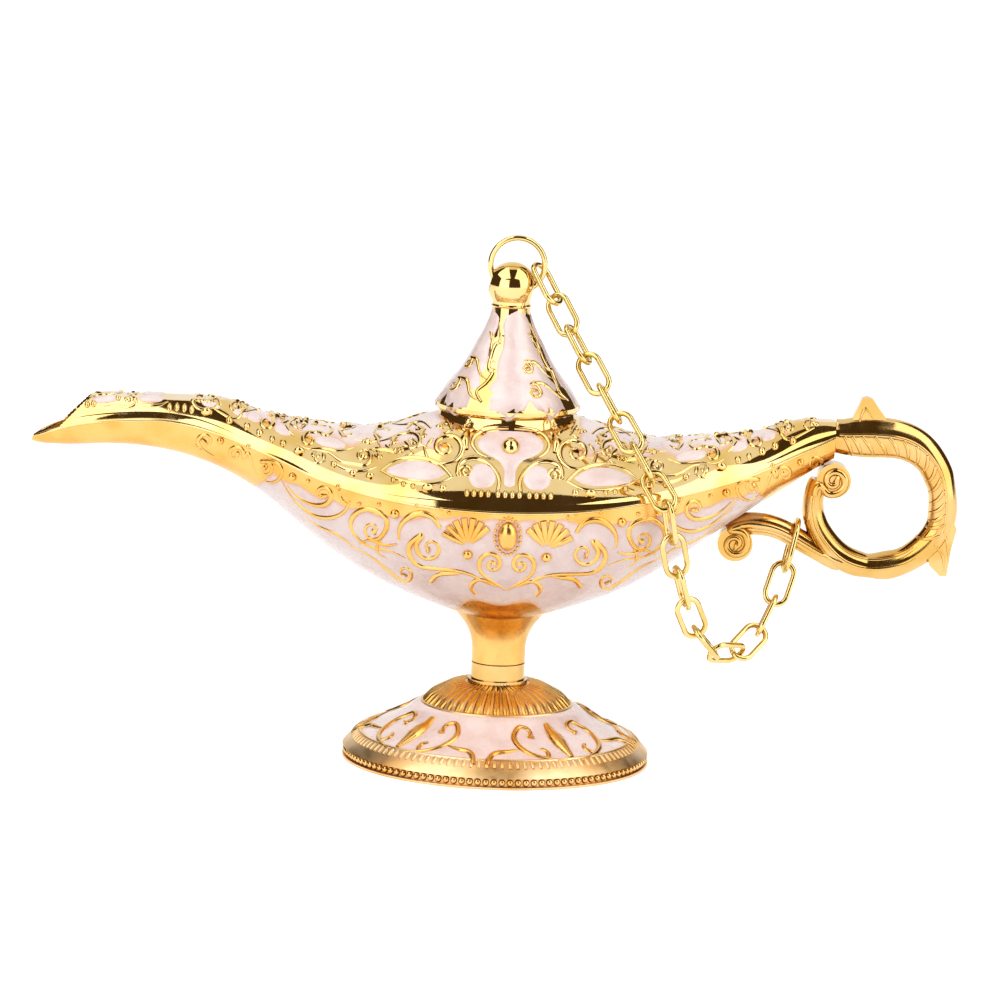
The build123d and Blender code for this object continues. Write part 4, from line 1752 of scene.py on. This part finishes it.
    def teeth(self) -> list[Bead]:
        """Drop-shaped teeth in groups along the top of the polished band.

        Returns:
            The teeth, the middle groups first.
        """
        rows = [(start + number * self.tooth_pitch, *self.tooth)
                for start in self.tooth_starts for number in range(self.group)]
        hanging = ((14.0, 58.9, 0.8, 0.9), (17.2, 58.7, 1.3, 0.7), (20.4, 59.1, 0.5, 0.9),
                   (22.4, 59.5, 0.5, 0.9), (24.6, 60.3, 0.5, 0.9), (29.6, 61.0, 0.9, 0.8),
                   (33.2, 61.4, 0.8, 0.8), (37.4, 63.2, 0.7, 0.9), (45.0, 65.6, 1.2, 0.8),
                   (48.6, 67.4, 0.7, 1.2), (51.0, 68.2, 0.6, 1.2), (53.8, 69.5, 0.8, 1.2),
                   (56.6, 70.8, 0.7, 1.2), (60.4, 72.0, 0.7, 1.1))
        for side in (-1, 1):
            rows += [(side * x, z, wide, tall) for x, z, wide, tall in hanging]
        return [(self.centre + x, z, wide, tall) for x, z, wide, tall in rows]

    def spout_teeth(self) -> list[Bead]:
        """Teeth along the spout.

        Returns:
            The teeth, as place, half width and half height.
        """
        return [(-90.2, 74.3, 0.6, 0.9), (-88.8, 74.5, 0.6, 0.9), (-72.4, 74.3, 0.5, 1.1),
                (-70.8, 74.4, 0.5, 1.1), (-69.2, 74.3, 0.5, 1.1), (-67.6, 74.0, 0.5, 1.1),
                (-64.4, 73.6, 1.2, 0.9), (-83.6, 75.9, 0.6, 0.6)]

    def filling(self) -> list[Ridge]:
        """Sprigs between the scrolls right of the middle.

        Returns:
            The ridges of all sprigs.
        """
        places = (
            ((17.6, 67.4), 3.4, 60, 1), ((20.6, 66.2), 3.2, 20, -1), ((24.2, 66.0), 3.0, 70, 1),
            ((27.8, 67.4), 3.0, 30, -1), ((29.6, 70.4), 3.0, 160, 1), ((36.2, 69.0), 2.8, 120, -1),
            ((44.8, 70.4), 2.8, 60, 1), ((47.6, 72.4), 2.6, 30, -1), ((50.2, 72.8), 2.4, 100, 1),
            ((56.4, 74.2), 2.4, 20, 1), ((62.4, 75.4), 2.6, 20, -1), ((30.4, 66.6), 2.6, 200, 1),
            ((39.2, 63.8), 2.6, 20, 1), ((9.2, 70.8), 2.4, 80, 1), ((12.6, 71.4), 2.6, 30, -1),
            ((22.4, 71.6), 2.8, 170, 1), ((33.6, 71.6), 2.8, 10, 1), ((41.4, 72.8), 2.6, 10, -1),
        )
        return [ridge for foot, size, turn, sense in places
                for ridge in sprig(foot, size * self.sprig_growth, turn, sense)]

    def build(self, shell: Piece) -> None:
        """Lay the drawing on both sides of the shoulder.

        Args:
            shell: the upper shell.
        """
        tree = tree_of(shell)
        ridges = mirrored(self.ridges() + self.filling(), self.centre) + self.spout_ridges()
        pads = [*mirrored(self.pads(), self.centre), self.shield().moved(self.centre), *self.spout_pads()]
        drops = [*self.teeth(), *self.spout_teeth(), (self.centre, *self.boss)]
        for side, word in ((FRONT, "front"), (BACK, "back")):
            ground = FrontGround(tree, side)
            scrolls = wires(f"shoulder_scrolls_{word}",
                            ridge_runs(ridges, ground, self.sink_share, self.heft))
            dress(scrolls, POLISHED)
            dress(lay_pads(f"shoulder_cushions_{word}", pads, ground), ENAMEL)
            teeth = stamp(f"shoulder_teeth_{word}", bead_blank(3), beads_on(drops, ground, self.proud_share))
            dress(teeth, POLISHED)


@dataclass
class Lid:
    """Conical lid with rim bead and ball, panelled in enamel.

    A panel's middle and half width are degrees; its sides are heights and shares of that half width.
    """

    panels: int = 4
    first: float = 20.0
    half: float = 39.0
    sides: tuple[Pair, ...] = ((80.4, 1.06), (82.6, 1.08), (85.2, 0.88), (88.4, 0.98), (91.6, 0.80),
                               (95.0, 1.0))
    foot: float = 80.3
    top: Pair = (20.0, 98.3)
    height: float = 0.5
    edge: float = 0.1
    sink_share: float = 0.4

    def panel(self, middle: float) -> Pad:
        """Pink panel with wavy sides.

        Args:
            middle: direction of its middle in degrees.

        Returns:
            The panel; its drawing is angle and height.
        """
        right = [(middle + self.half * share, height) for height, share in self.sides]
        left = [(middle - self.half * share, height) for height, share in reversed(self.sides)]
        across, up = self.top
        return Pad([(middle, self.foot), *right, (middle + across, up), (middle - across, up), *left],
                   self.height, self.edge)

    def scrolls(self, middle: float) -> list[Ridge]:
        """Gold curls that reach over a panel from its right side.

        Args:
            middle: direction of the panel's middle in degrees.

        Returns:
            The ridges; the drawing is angle and height.
        """
        low = [*stretched(curl((0, 0), 1.5, 1.2, 90, 1), (middle + 6, 82.4), 5.5), (middle + 20, 83.8),
               (middle + 32, 81.4), (middle + 44, 80.2)]
        high = [*stretched(curl((0, 0), 1.2, 1.2, 90, 1), (middle + 4, 87.0), 7.0), (middle + 18, 88.0),
                (middle + 32, 85.6), (middle + 44, 84.4)]
        top = [(middle + 20, 93.8), (middle + 34, 92.0), (middle + 40, 89.4), (middle + 50, 87.8)]
        wave = [(middle + 45 + 6 * math.sin(height * 0.9), height) for height in range(80, 98, 2)]
        return [Ridge(low, 0.65, 0.6, 0.3, 1.3), Ridge(high, 0.6, 0.6, 0.3, 1.3), Ridge(top, 0.5, 0.4, 0.3),
                Ridge(wave, 0.7, 0.6, 0.3)]

    def build(self) -> None:
        """Smooth lid with its panels and ridges."""
        lid = smooth_copy("lid", "lid_casting")
        dress(lid, POLISHED, Body.LID.value)
        ground = TurnedGround(tree_of(lid))
        middles = [self.first + 360 * number / self.panels for number in range(self.panels)]
        panels = lay_pads("lid_panels", [self.panel(middle) for middle in middles], ground)
        dress(panels, ENAMEL, Body.LID.value)
        over = TurnedGround(tree_of(lid, panels))
        ridges = [ridge for middle in middles for ridge in self.scrolls(middle)]
        dress(wires("lid_scrolls", ridge_runs(ridges, over, self.sink_share)), POLISHED, Body.LID.value)


@dataclass
class Foot:
    """Round foot with fluted dome, enamelled skirt and beaded edge.

    Directions are degrees from the front. The ribs' ends are the radius at which they start and the
    distance from the dome's edge at which they stop, and their widths are the first half width and what
    it gains outwards. A bead's sizes are half sizes up, across and out.
    """

    dome_radius: float = 16.2
    skirt_radius: float = 29.5
    edge_width: float = 0.42
    edge_points: int = 24
    tick_count: int = 116
    tick_steps: tuple[float, ...] = (0.3, 0.8, 1.3, 1.8)
    tick_width: float = 0.5
    flutes: int = 44
    rib_points: int = 16
    rib_ends: Pair = (7.0, 0.4)
    rib_widths: Pair = (0.46, 0.62)
    rib_tip_share: float = 0.7
    rib_sink_share: float = 0.55
    bead_count: int = 118
    bead_ring: float = 32.35
    bead_height: float = 1.45
    bead_sizes: Triple = (0.85, 0.8, 0.78)
    stones: tuple[float, ...] = (-46.0, 34.5, 127.0, 221.0)
    scroll_sink_share: float = 0.2
    border_sink_share: float = 0.3

    def bay(self, start: float, end: float) -> list[Ridge]:
        """Scrolls of the skirt between two stones.

        Args:
            start: direction of one stone in degrees.
            end: direction of the next.

        Returns:
            The ridges; the drawing is angle and radius.
        """
        middle, half = (start + end) / 2, (end - start) / 2
        drawn = []
        for side in (-1, 1):
            tendril = [(middle + side * half * share, radius) for share, radius in (
                (0.64, 22.2), (0.67, 20.5), (0.57, 19.2), (0.46, 19.8), (0.40, 22.0), (0.45, 24.9),
                (0.58, 27.6), (0.76, 29.2), (0.94, 30.2))]
            branch = [(middle + side * half * share, radius) for share, radius in (
                (0.07, 30.6), (0.10, 28.2), (0.24, 26.6), (0.43, 25.6))]
            leaf = [(middle + side * half * share, radius) for share, radius in (
                (0.70, 25.6), (0.76, 27.0), (0.72, 28.6), (0.64, 28.4))]
            drawn += [Ridge(tendril, 0.65, 0.7, 0.4, 1.3), Ridge(branch, 0.7, 0.9, 0.3),
                      Ridge(leaf, 0.55, 0.8, 0.3)]
        return drawn

    def stone(self, angle: float) -> Ridge:
        """Almond stone of the skirt."""
        return Ridge([(angle, 18.8), (angle, 21.8), (angle, 24.4), (angle, 27.0), (angle, 29.0)], 1.7, 0.4,
                     0.36)

    def dome_ribs(self, ground: Ground) -> list[Run]:
        """The dome's ribs, widening outwards.

        Args:
            ground: the dome.

        Returns:
            One run for each rib.
        """
        start, stop = self.rib_ends
        slim, more = self.rib_widths
        last = self.rib_points - 1
        runs = []
        for number in range(self.flutes):
            run = []
            for i in range(self.rib_points):
                share = i / last
                place, normal = ground.at(360 * number / self.flutes,
                                          start + share * (self.dome_radius - start - stop))
                width = (slim + more * share) * (self.rib_tip_share if i == last else 1.0)
                run.append((place - normal * (width * self.rib_sink_share * MM), width))
            runs.append(run)
        return runs

    def border(self) -> list[Ridge]:
        """Wires on the skirt's two edges and the ticks outside it.

        Returns:
            The ridges; the drawing is angle and radius.
        """
        angles = [360 * number / self.edge_points for number in range(self.edge_points + 1)]
        ridges = [Ridge([(angle, radius) for angle in angles], self.edge_width, 1.0, 1.0)
                  for radius in (self.dome_radius, self.skirt_radius)]
        for number in range(self.tick_count):
            angle = 360 * number / self.tick_count
            ridges.append(Ridge([(angle, self.skirt_radius + step) for step in self.tick_steps],
                                self.tick_width, 0.8, 0.8))
        return ridges

    def bead_seats(self) -> list[Matrix]:
        """Seats of the beads round the edge.

        Returns:
            One matrix for each bead.
        """
        up = Vector((0, 0, 1))
        outs = [bearing(360 * number / self.bead_count) for number in range(self.bead_count)]
        return [seat((out * self.bead_ring + up * self.bead_height) * MM, out, up,
                     self.bead_sizes) for out in outs]

    def build(self) -> None:
        """Smooth foot with its flutes, beads and scrolls."""
        foot = smooth_copy("foot", "foot_casting")
        dress(foot, replace(ENAMEL, name="foot_enamel_on_gold", plate=MATT,
                            band=(self.dome_radius, self.skirt_radius)))
        ground = TopGround(tree_of(foot))
        dress(wires("foot_dome_ribs", self.dome_ribs(ground)), SATIN)
        ridges = []
        for start, end in zip(self.stones, (*self.stones[1:], self.stones[0] + 360)):
            ridges += [*self.bay(start, end), self.stone(start)]
        dress(wires("foot_scrolls", ridge_runs(ridges, ground, self.scroll_sink_share)), SATIN)
        dress(wires("foot_tick_border", ridge_runs(self.border(), ground, self.border_sink_share)), MATT)
        dress(stamp("foot_edge_beads", bead_blank(2), self.bead_seats()), BUFFED)


@dataclass
class Handle:
    """Loop handle with fluting, spirals on its scroll ends and a ridge along its branch.

    The loop is shares of the handle's length and height, and its half thickness a share of half depth.
    The branch is shares of length and height. A flute's places are rows of the loop from its start, and
    offsets outwards as shares of half thickness.
    """

    reach: float = 70.7
    length: float = 27.0
    height: float = 39.3
    base: float = 42.3
    half_depth: float = 3.3
    flutes: int = 15
    flute_start: float = 0.7
    flute_pitch: float = 0.66
    flute_shares: tuple[Pair, ...] = ((0.0, 0.12), (0.22, -0.12), (0.5, -0.5), (0.7, -0.93))
    spiral: float = 3.2
    spiral_turns: float = 1.6
    sink_share: float = 0.35
    loop: tuple[tuple[float, float, float], ...] = (
        (0.0, 0.797, 1.12), (0.10, 0.792, 1.22), (0.21, 0.794, 1.34), (0.37, 0.794, 1.34),
        (0.54, 0.781, 1.26), (0.69, 0.733, 1.14), (0.80, 0.651, 1.02), (0.862, 0.555, 0.96),
        (0.888, 0.450, 0.95), (0.885, 0.361, 0.95), (0.848, 0.275, 0.94), (0.711, 0.165, 0.92),
        (0.559, 0.104, 0.90), (0.381, 0.079, 0.88), (0.222, 0.089, 0.86), (0.067, 0.140, 0.84),
        (-0.063, 0.237, 0.80), (-0.122, 0.313, 0.76), (-0.148, 0.397, 0.72), (-0.142, 0.468, 0.68),
        (-0.105, 0.545, 0.62))
    branch: tuple[Pair, ...] = ((0.10, 0.100), (-0.04, 0.136), (-0.18, 0.186), (-0.315, 0.237),
                                (-0.450, 0.276), (-0.590, 0.290), (-0.720, 0.285), (-0.820, 0.250))

    def place(self, along: float, up: float) -> Pair:
        """A share of the handle's box as a place in millimetres."""
        return self.reach + along * self.length, self.base + up * self.height

    def on_loop(self, row: float, offset: float) -> Pair:
        """A place on the loop.

        Args:
            row: row number of the loop, with a fraction between rows.
            offset: distance outwards as a share of half thickness.

        Returns:
            The place in millimetres.
        """
        rows = np.array([(*self.place(a, b), t * self.half_depth) for a, b, t in self.loop])
        (x, z, thick), ahead = spline_through(np.arange(len(rows)), rows, np.array([row, row + 0.05]))
        run = ahead[:2] - (x, z)
        run /= np.linalg.norm(run)
        return x - run[1] * thick * offset, z + run[0] * thick * offset

    def ridges(self) -> list[Ridge]:
        """Flutes, long ridges and spirals on one face of the handle.

        Returns:
            The ridges; the drawing is X and height.
        """
        drawn = []
        for number in range(self.flutes):
            row = self.flute_start + number * self.flute_pitch
            drawn.append(Ridge([self.on_loop(row + step, offset) for step, offset in self.flute_shares],
                               0.5, 0.9, 0.6))
        outer = [self.on_loop(row, 0.2) for row in np.arange(0.3, 10.8, 0.5)]
        low = [self.on_loop(row, 0.05) for row in np.arange(11.2, 19.9, 0.5)]
        rim = [self.on_loop(row, -0.62) for row in np.arange(11.0, 19.4, 0.5)]
        scroll = [*curl(self.place(0.005, 0.553), self.spiral, self.spiral_turns, 200, -1),
                  self.on_loop(19.6, 0.1), self.on_loop(19.0, 0.05)]
        end = [*curl(self.place(-0.760, 0.182), self.spiral, self.spiral_turns, 110, 1),
               *(self.place(a, b) for a, b in self.branch[-2::-1])]
        fin = [Ridge([self.place(0.83, 0.22), self.place(0.90, 0.16), self.place(0.915, 0.07)], 0.4, 0.5,
                     0.4),
               Ridge([self.place(0.90, 0.30), self.place(0.935, 0.22), self.place(0.95, 0.12)],
                     0.35, 0.5, 0.4)]
        thorn = Ridge([self.place(0.19, 0.885), self.place(0.235, 0.955), self.place(0.30, 0.90)], 0.4, 0.5,
                      0.5)
        return [*drawn, *fin, thorn, Ridge(outer, 0.42, 0.8, 0.6), Ridge(low, 0.5, 0.6, 0.5),
                Ridge(rim, 0.35, 0.6, 0.5), Ridge(scroll, 0.95, 0.7, 0.8, 1.5),
                Ridge(end, 0.95, 0.7, 0.5, 1.5)]

    def build(self) -> None:
        """Smooth handle with its ridges on both faces."""
        handle = smooth_copy("handle", "handle_casting")
        dress(handle, BUFFED)
        tree = tree_of(handle)
        for side, word in ((FRONT, "front"), (BACK, "back")):
            runs = ridge_runs(self.ridges(), FrontGround(tree, side, 0.0), self.sink_share)
            dress(wires(f"handle_ridges_{word}", runs), BUFFED)


@dataclass
class LooseParts:
    """Ring, chain, ferrule, screw and washer, each in its own plating.

    Attributes:
        links: number of links.
    """

    links: int = 18

    def build(self) -> None:
        """Smooth copies of the turned and bent wire parts."""
        dress(smooth_copy("finial_ring", "finial_ring_wire"), WIRE, Body.RING.value)
        for number in range(1, self.links + 1):
            link = smooth_copy(f"chain_link_{number:02d}", f"chain_wire_{number:02d}")
            dress(link, WIRE, f"link_{number:02d}")
        dress(smooth_copy("ferrule", "ferrule_ring"), BUFFED)
        for node in ("foot_screw", "foot_washer"):
            dress(smooth_copy(node, f"{node}_plated"), STEEL)


@dataclass
class Studio:
    """Floor, backdrop, lamps, cards that the metal mirrors, and the camera.

    The camera's sizes are millimetres and degrees, all others are metres. A card is a name, its edges in
    degrees right of the camera and its edges in degrees up; an overhead card is a name and its two ends
    along X; a lamp is a name, a place and watts.
    """

    target: Triple = (-0.87, 0.0, 56.8)
    distance: float = 1233.0
    elevation: float = 9.5
    lean: float = 2.1
    lens: float = 205.5
    sensor: float = 36.0
    room: tuple[tuple[str, Pair, Pair], ...] = (
        ("room_front", (-100, 104), (-8, 72)), ("room_left", (-150, -100), (-8, 60)),
        ("room_right", (104, 150), (-8, 60)), ("room_top", (-100, 104), (72, 90)))
    room_reach: float = 2.4
    boxes: tuple[tuple[str, Pair, Pair], ...] = (
        ("softbox_left", (-62, -14), (-8, 34)), ("softbox_right", (42, 95), (-8, 60)))
    box_reach: float = 2.0
    centre_z: float = 0.06
    ceilings: tuple[tuple[str, float, float], ...] = (("ceiling_left", -1.5, -0.22),
                                                      ("ceiling_right", 0.35, 1.5))
    ceiling_y: float = -0.45
    ceiling_z: float = 1.2
    ceiling_depth: float = 1.5
    lamps: tuple[tuple[str, Triple, float], ...] = (
        ("key_left", (-0.9, -1.0, 1.3), 14.0), ("fill_right", (1.1, -0.9, 1.0), 9.0))
    lamp_size: float = 0.9
    floor_size: float = 30.0
    floor_glow: float = 0.45
    world_light: Pair = (0.62, 1.0)

    def camera(self) -> None:
        """Camera at the photograph's angle, rolled as the photograph is."""
        target = Vector(self.target) * MM
        tilt = math.radians(self.elevation)
        back = Vector((0, -math.cos(tilt), math.sin(tilt)))
        bpy.ops.object.camera_add(location=target + back * (self.distance * MM))
        camera = bpy.context.object
        turn = (-back).to_track_quat("-Z", "Y").to_matrix() @ Matrix.Rotation(math.radians(self.lean), 3, "Z")
        camera.rotation_euler = turn.to_euler()
        camera.data.lens = self.lens
        camera.data.sensor_width = self.sensor
        camera.data.clip_end = 50
        bpy.context.scene.camera = camera

    def glow(self, name: str, colour: str, strength: float) -> Material:
        """Plain light of a card.

        Args:
            name: the material's name.
            colour: its colour.
            strength: its strength.

        Returns:
            The material.
        """
        def surface(tree: NodeTree) -> NodeSocket:
            """The light."""
            return add_node(tree, "Emission",
                            values={"Color": linear(colour), "Strength": strength}).outputs["Emission"]

        return material_of(name, surface)

    def card(self, name: str, azimuth: Pair, elevation: Pair, reach: float, material: Material) -> None:
        """A curved card round the lamp that only mirrors see.

        Args:
            name: the card's name.
            azimuth: its two edges, degrees right of the camera.
            elevation: its lower and upper edge in degrees.
            reach: distance from the lamp in metres.
            material: its light.
        """
        card = begin(name, bpy.ops.mesh.primitive_grid_add, x_subdivisions=12, y_subdivisions=8, size=2.0)
        for vertex in card.data.vertices:
            angle = azimuth[0] + (vertex.co.x + 1) / 2 * (azimuth[1] - azimuth[0])
            e = math.radians(elevation[0] + (vertex.co.y + 1) / 2 * (elevation[1] - elevation[0]))
            vertex.co = (bearing(angle) * math.cos(e) + Vector((0, 0, math.sin(e)))) * reach
            vertex.co.z += self.centre_z
        self.hide_card(card, material)

    def ceiling_card(self, name: str, left: float, right: float, material: Material) -> None:
        """A flat card overhead that only mirrors see.

        Args:
            name: the card's name.
            left: its left end along X in metres.
            right: its right end.
            material: its light.
        """
        card = begin(name, bpy.ops.mesh.primitive_plane_add, size=2.0,
                     location=((left + right) / 2, self.ceiling_y, self.ceiling_z))
        card.scale = ((right - left) / 2, self.ceiling_depth / 2, 1.0)
        self.hide_card(card, material)

    @staticmethod
    def hide_card(card: Piece, material: Material) -> None:
        """Give a card its light and let only mirrors see it.

        Args:
            card: the card.
            material: its light.
        """
        card.data.materials.append(material)
        card.visible_camera = False
        card.visible_diffuse = False
        card.visible_shadow = False
        card.visible_transmission = False

    def lamp(self, name: str, place: Triple, watts: float) -> None:
        """Soft square lamp aimed at the lamp body, unseen by mirrors.

        Args:
            name: the lamp's name.
            place: its place in metres.
            watts: its power.
        """
        bpy.ops.object.light_add(type="AREA", location=place)
        light = bpy.context.object
        light.name = name
        light.data.size = self.lamp_size
        light.data.energy = watts
        light.rotation_euler = (Vector(place) - Vector((0, 0, 0.05))).to_track_quat("Z", "Y").to_euler()
        light.visible_glossy = False
        light.visible_camera = False

    @staticmethod
    def seen(tree: NodeTree, *rays: str) -> NodeSocket:
        """One for some kinds of ray, zero for the others.

        Args:
            tree: the node tree.
            rays: the Light Path outputs of those kinds.

        Returns:
            The value.
        """
        path = add_node(tree, "LightPath")
        value = path.outputs[rays[0]]
        for ray in rays[1:]:
            value = add_node(tree, "Math", {"operation": "MAXIMUM"},
                             links={0: value, 1: path.outputs[ray]}).outputs["Value"]
        return value

    def sweep(self, tree: NodeTree) -> NodeSocket:
        """Surface of the floor: matt white, and a little brighter where it is seen.

        Args:
            tree: the material's node tree.

        Returns:
            The shader's output.
        """
        glowing = add_node(tree, "Math", {"operation": "MULTIPLY"}, {1: self.floor_glow},
                           {0: self.seen(tree, "Is Camera Ray", "Is Glossy Ray")})
        matt = add_node(tree, "BsdfDiffuse", values={"Color": linear("#F4F4F4")})
        light = add_node(tree, "Emission", values={"Color": linear("#FFFFFF")},
                         links={"Strength": glowing.outputs["Value"]})
        both = add_node(tree, "AddShader", links={0: matt.outputs["BSDF"], 1: light.outputs["Emission"]})
        return both.outputs["Shader"]

    def floor(self) -> None:
        """White sweep that keeps the lamp's shadow."""
        floor = begin("studio_floor", bpy.ops.mesh.primitive_plane_add, size=self.floor_size)
        floor.data.materials.append(material_of("white_sweep", self.sweep))

    def world(self) -> None:
        """White world for camera and mirrors, soft grey light for the rest."""
        world = bpy.data.worlds.new("studio_world")
        bpy.context.scene.world = world
        world.use_nodes = True
        tree = world.node_tree
        tree.nodes.clear()
        soft, full = self.world_light
        strength = add_node(tree, "MapRange", None, {"To Min": soft, "To Max": full},
                            {"Value": self.seen(tree, "Is Camera Ray", "Is Glossy Ray",
                                                "Is Transmission Ray")})
        light = add_node(tree, "Background", values={"Color": linear("#FFFFFF")},
                         links={"Strength": strength.outputs[0]})
        add_node(tree, "OutputWorld", links={"Surface": light.outputs["Background"]})

    def build(self) -> None:
        """Set up the studio."""
        self.camera()
        self.floor()
        self.world()
        dark = self.glow("dark_room", "#4C3C28", 0.9)
        soft = self.glow("softbox", "#FFFDF8", 2.1)
        for name, azimuth, elevation in self.room:
            self.card(name, azimuth, elevation, self.room_reach, dark)
        for name, azimuth, elevation in self.boxes:
            self.card(name, azimuth, elevation, self.box_reach, soft)
        for name, left, right in self.ceilings:
            self.ceiling_card(name, left, right, soft)
        for name, place, watts in self.lamps:
            self.lamp(name, place, watts)
        bpy.context.scene.view_settings.view_transform = "Standard"


def main() -> None:
    """Build every piece in order and report it."""
    logging.basicConfig(level=logging.INFO, format="%(message)s")
    form = HullForm()
    Studio().build()
    upper = UpperShell(form).build()
    lower = LowerShell(form).build()
    SeamLine(form).build()
    LowerOrnament().build(lower)
    UpperOrnament().build(upper)
    Lid().build()
    Foot().build()
    Handle().build()
    LooseParts().build()
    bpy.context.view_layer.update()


if __name__ == "__main__":
    main()
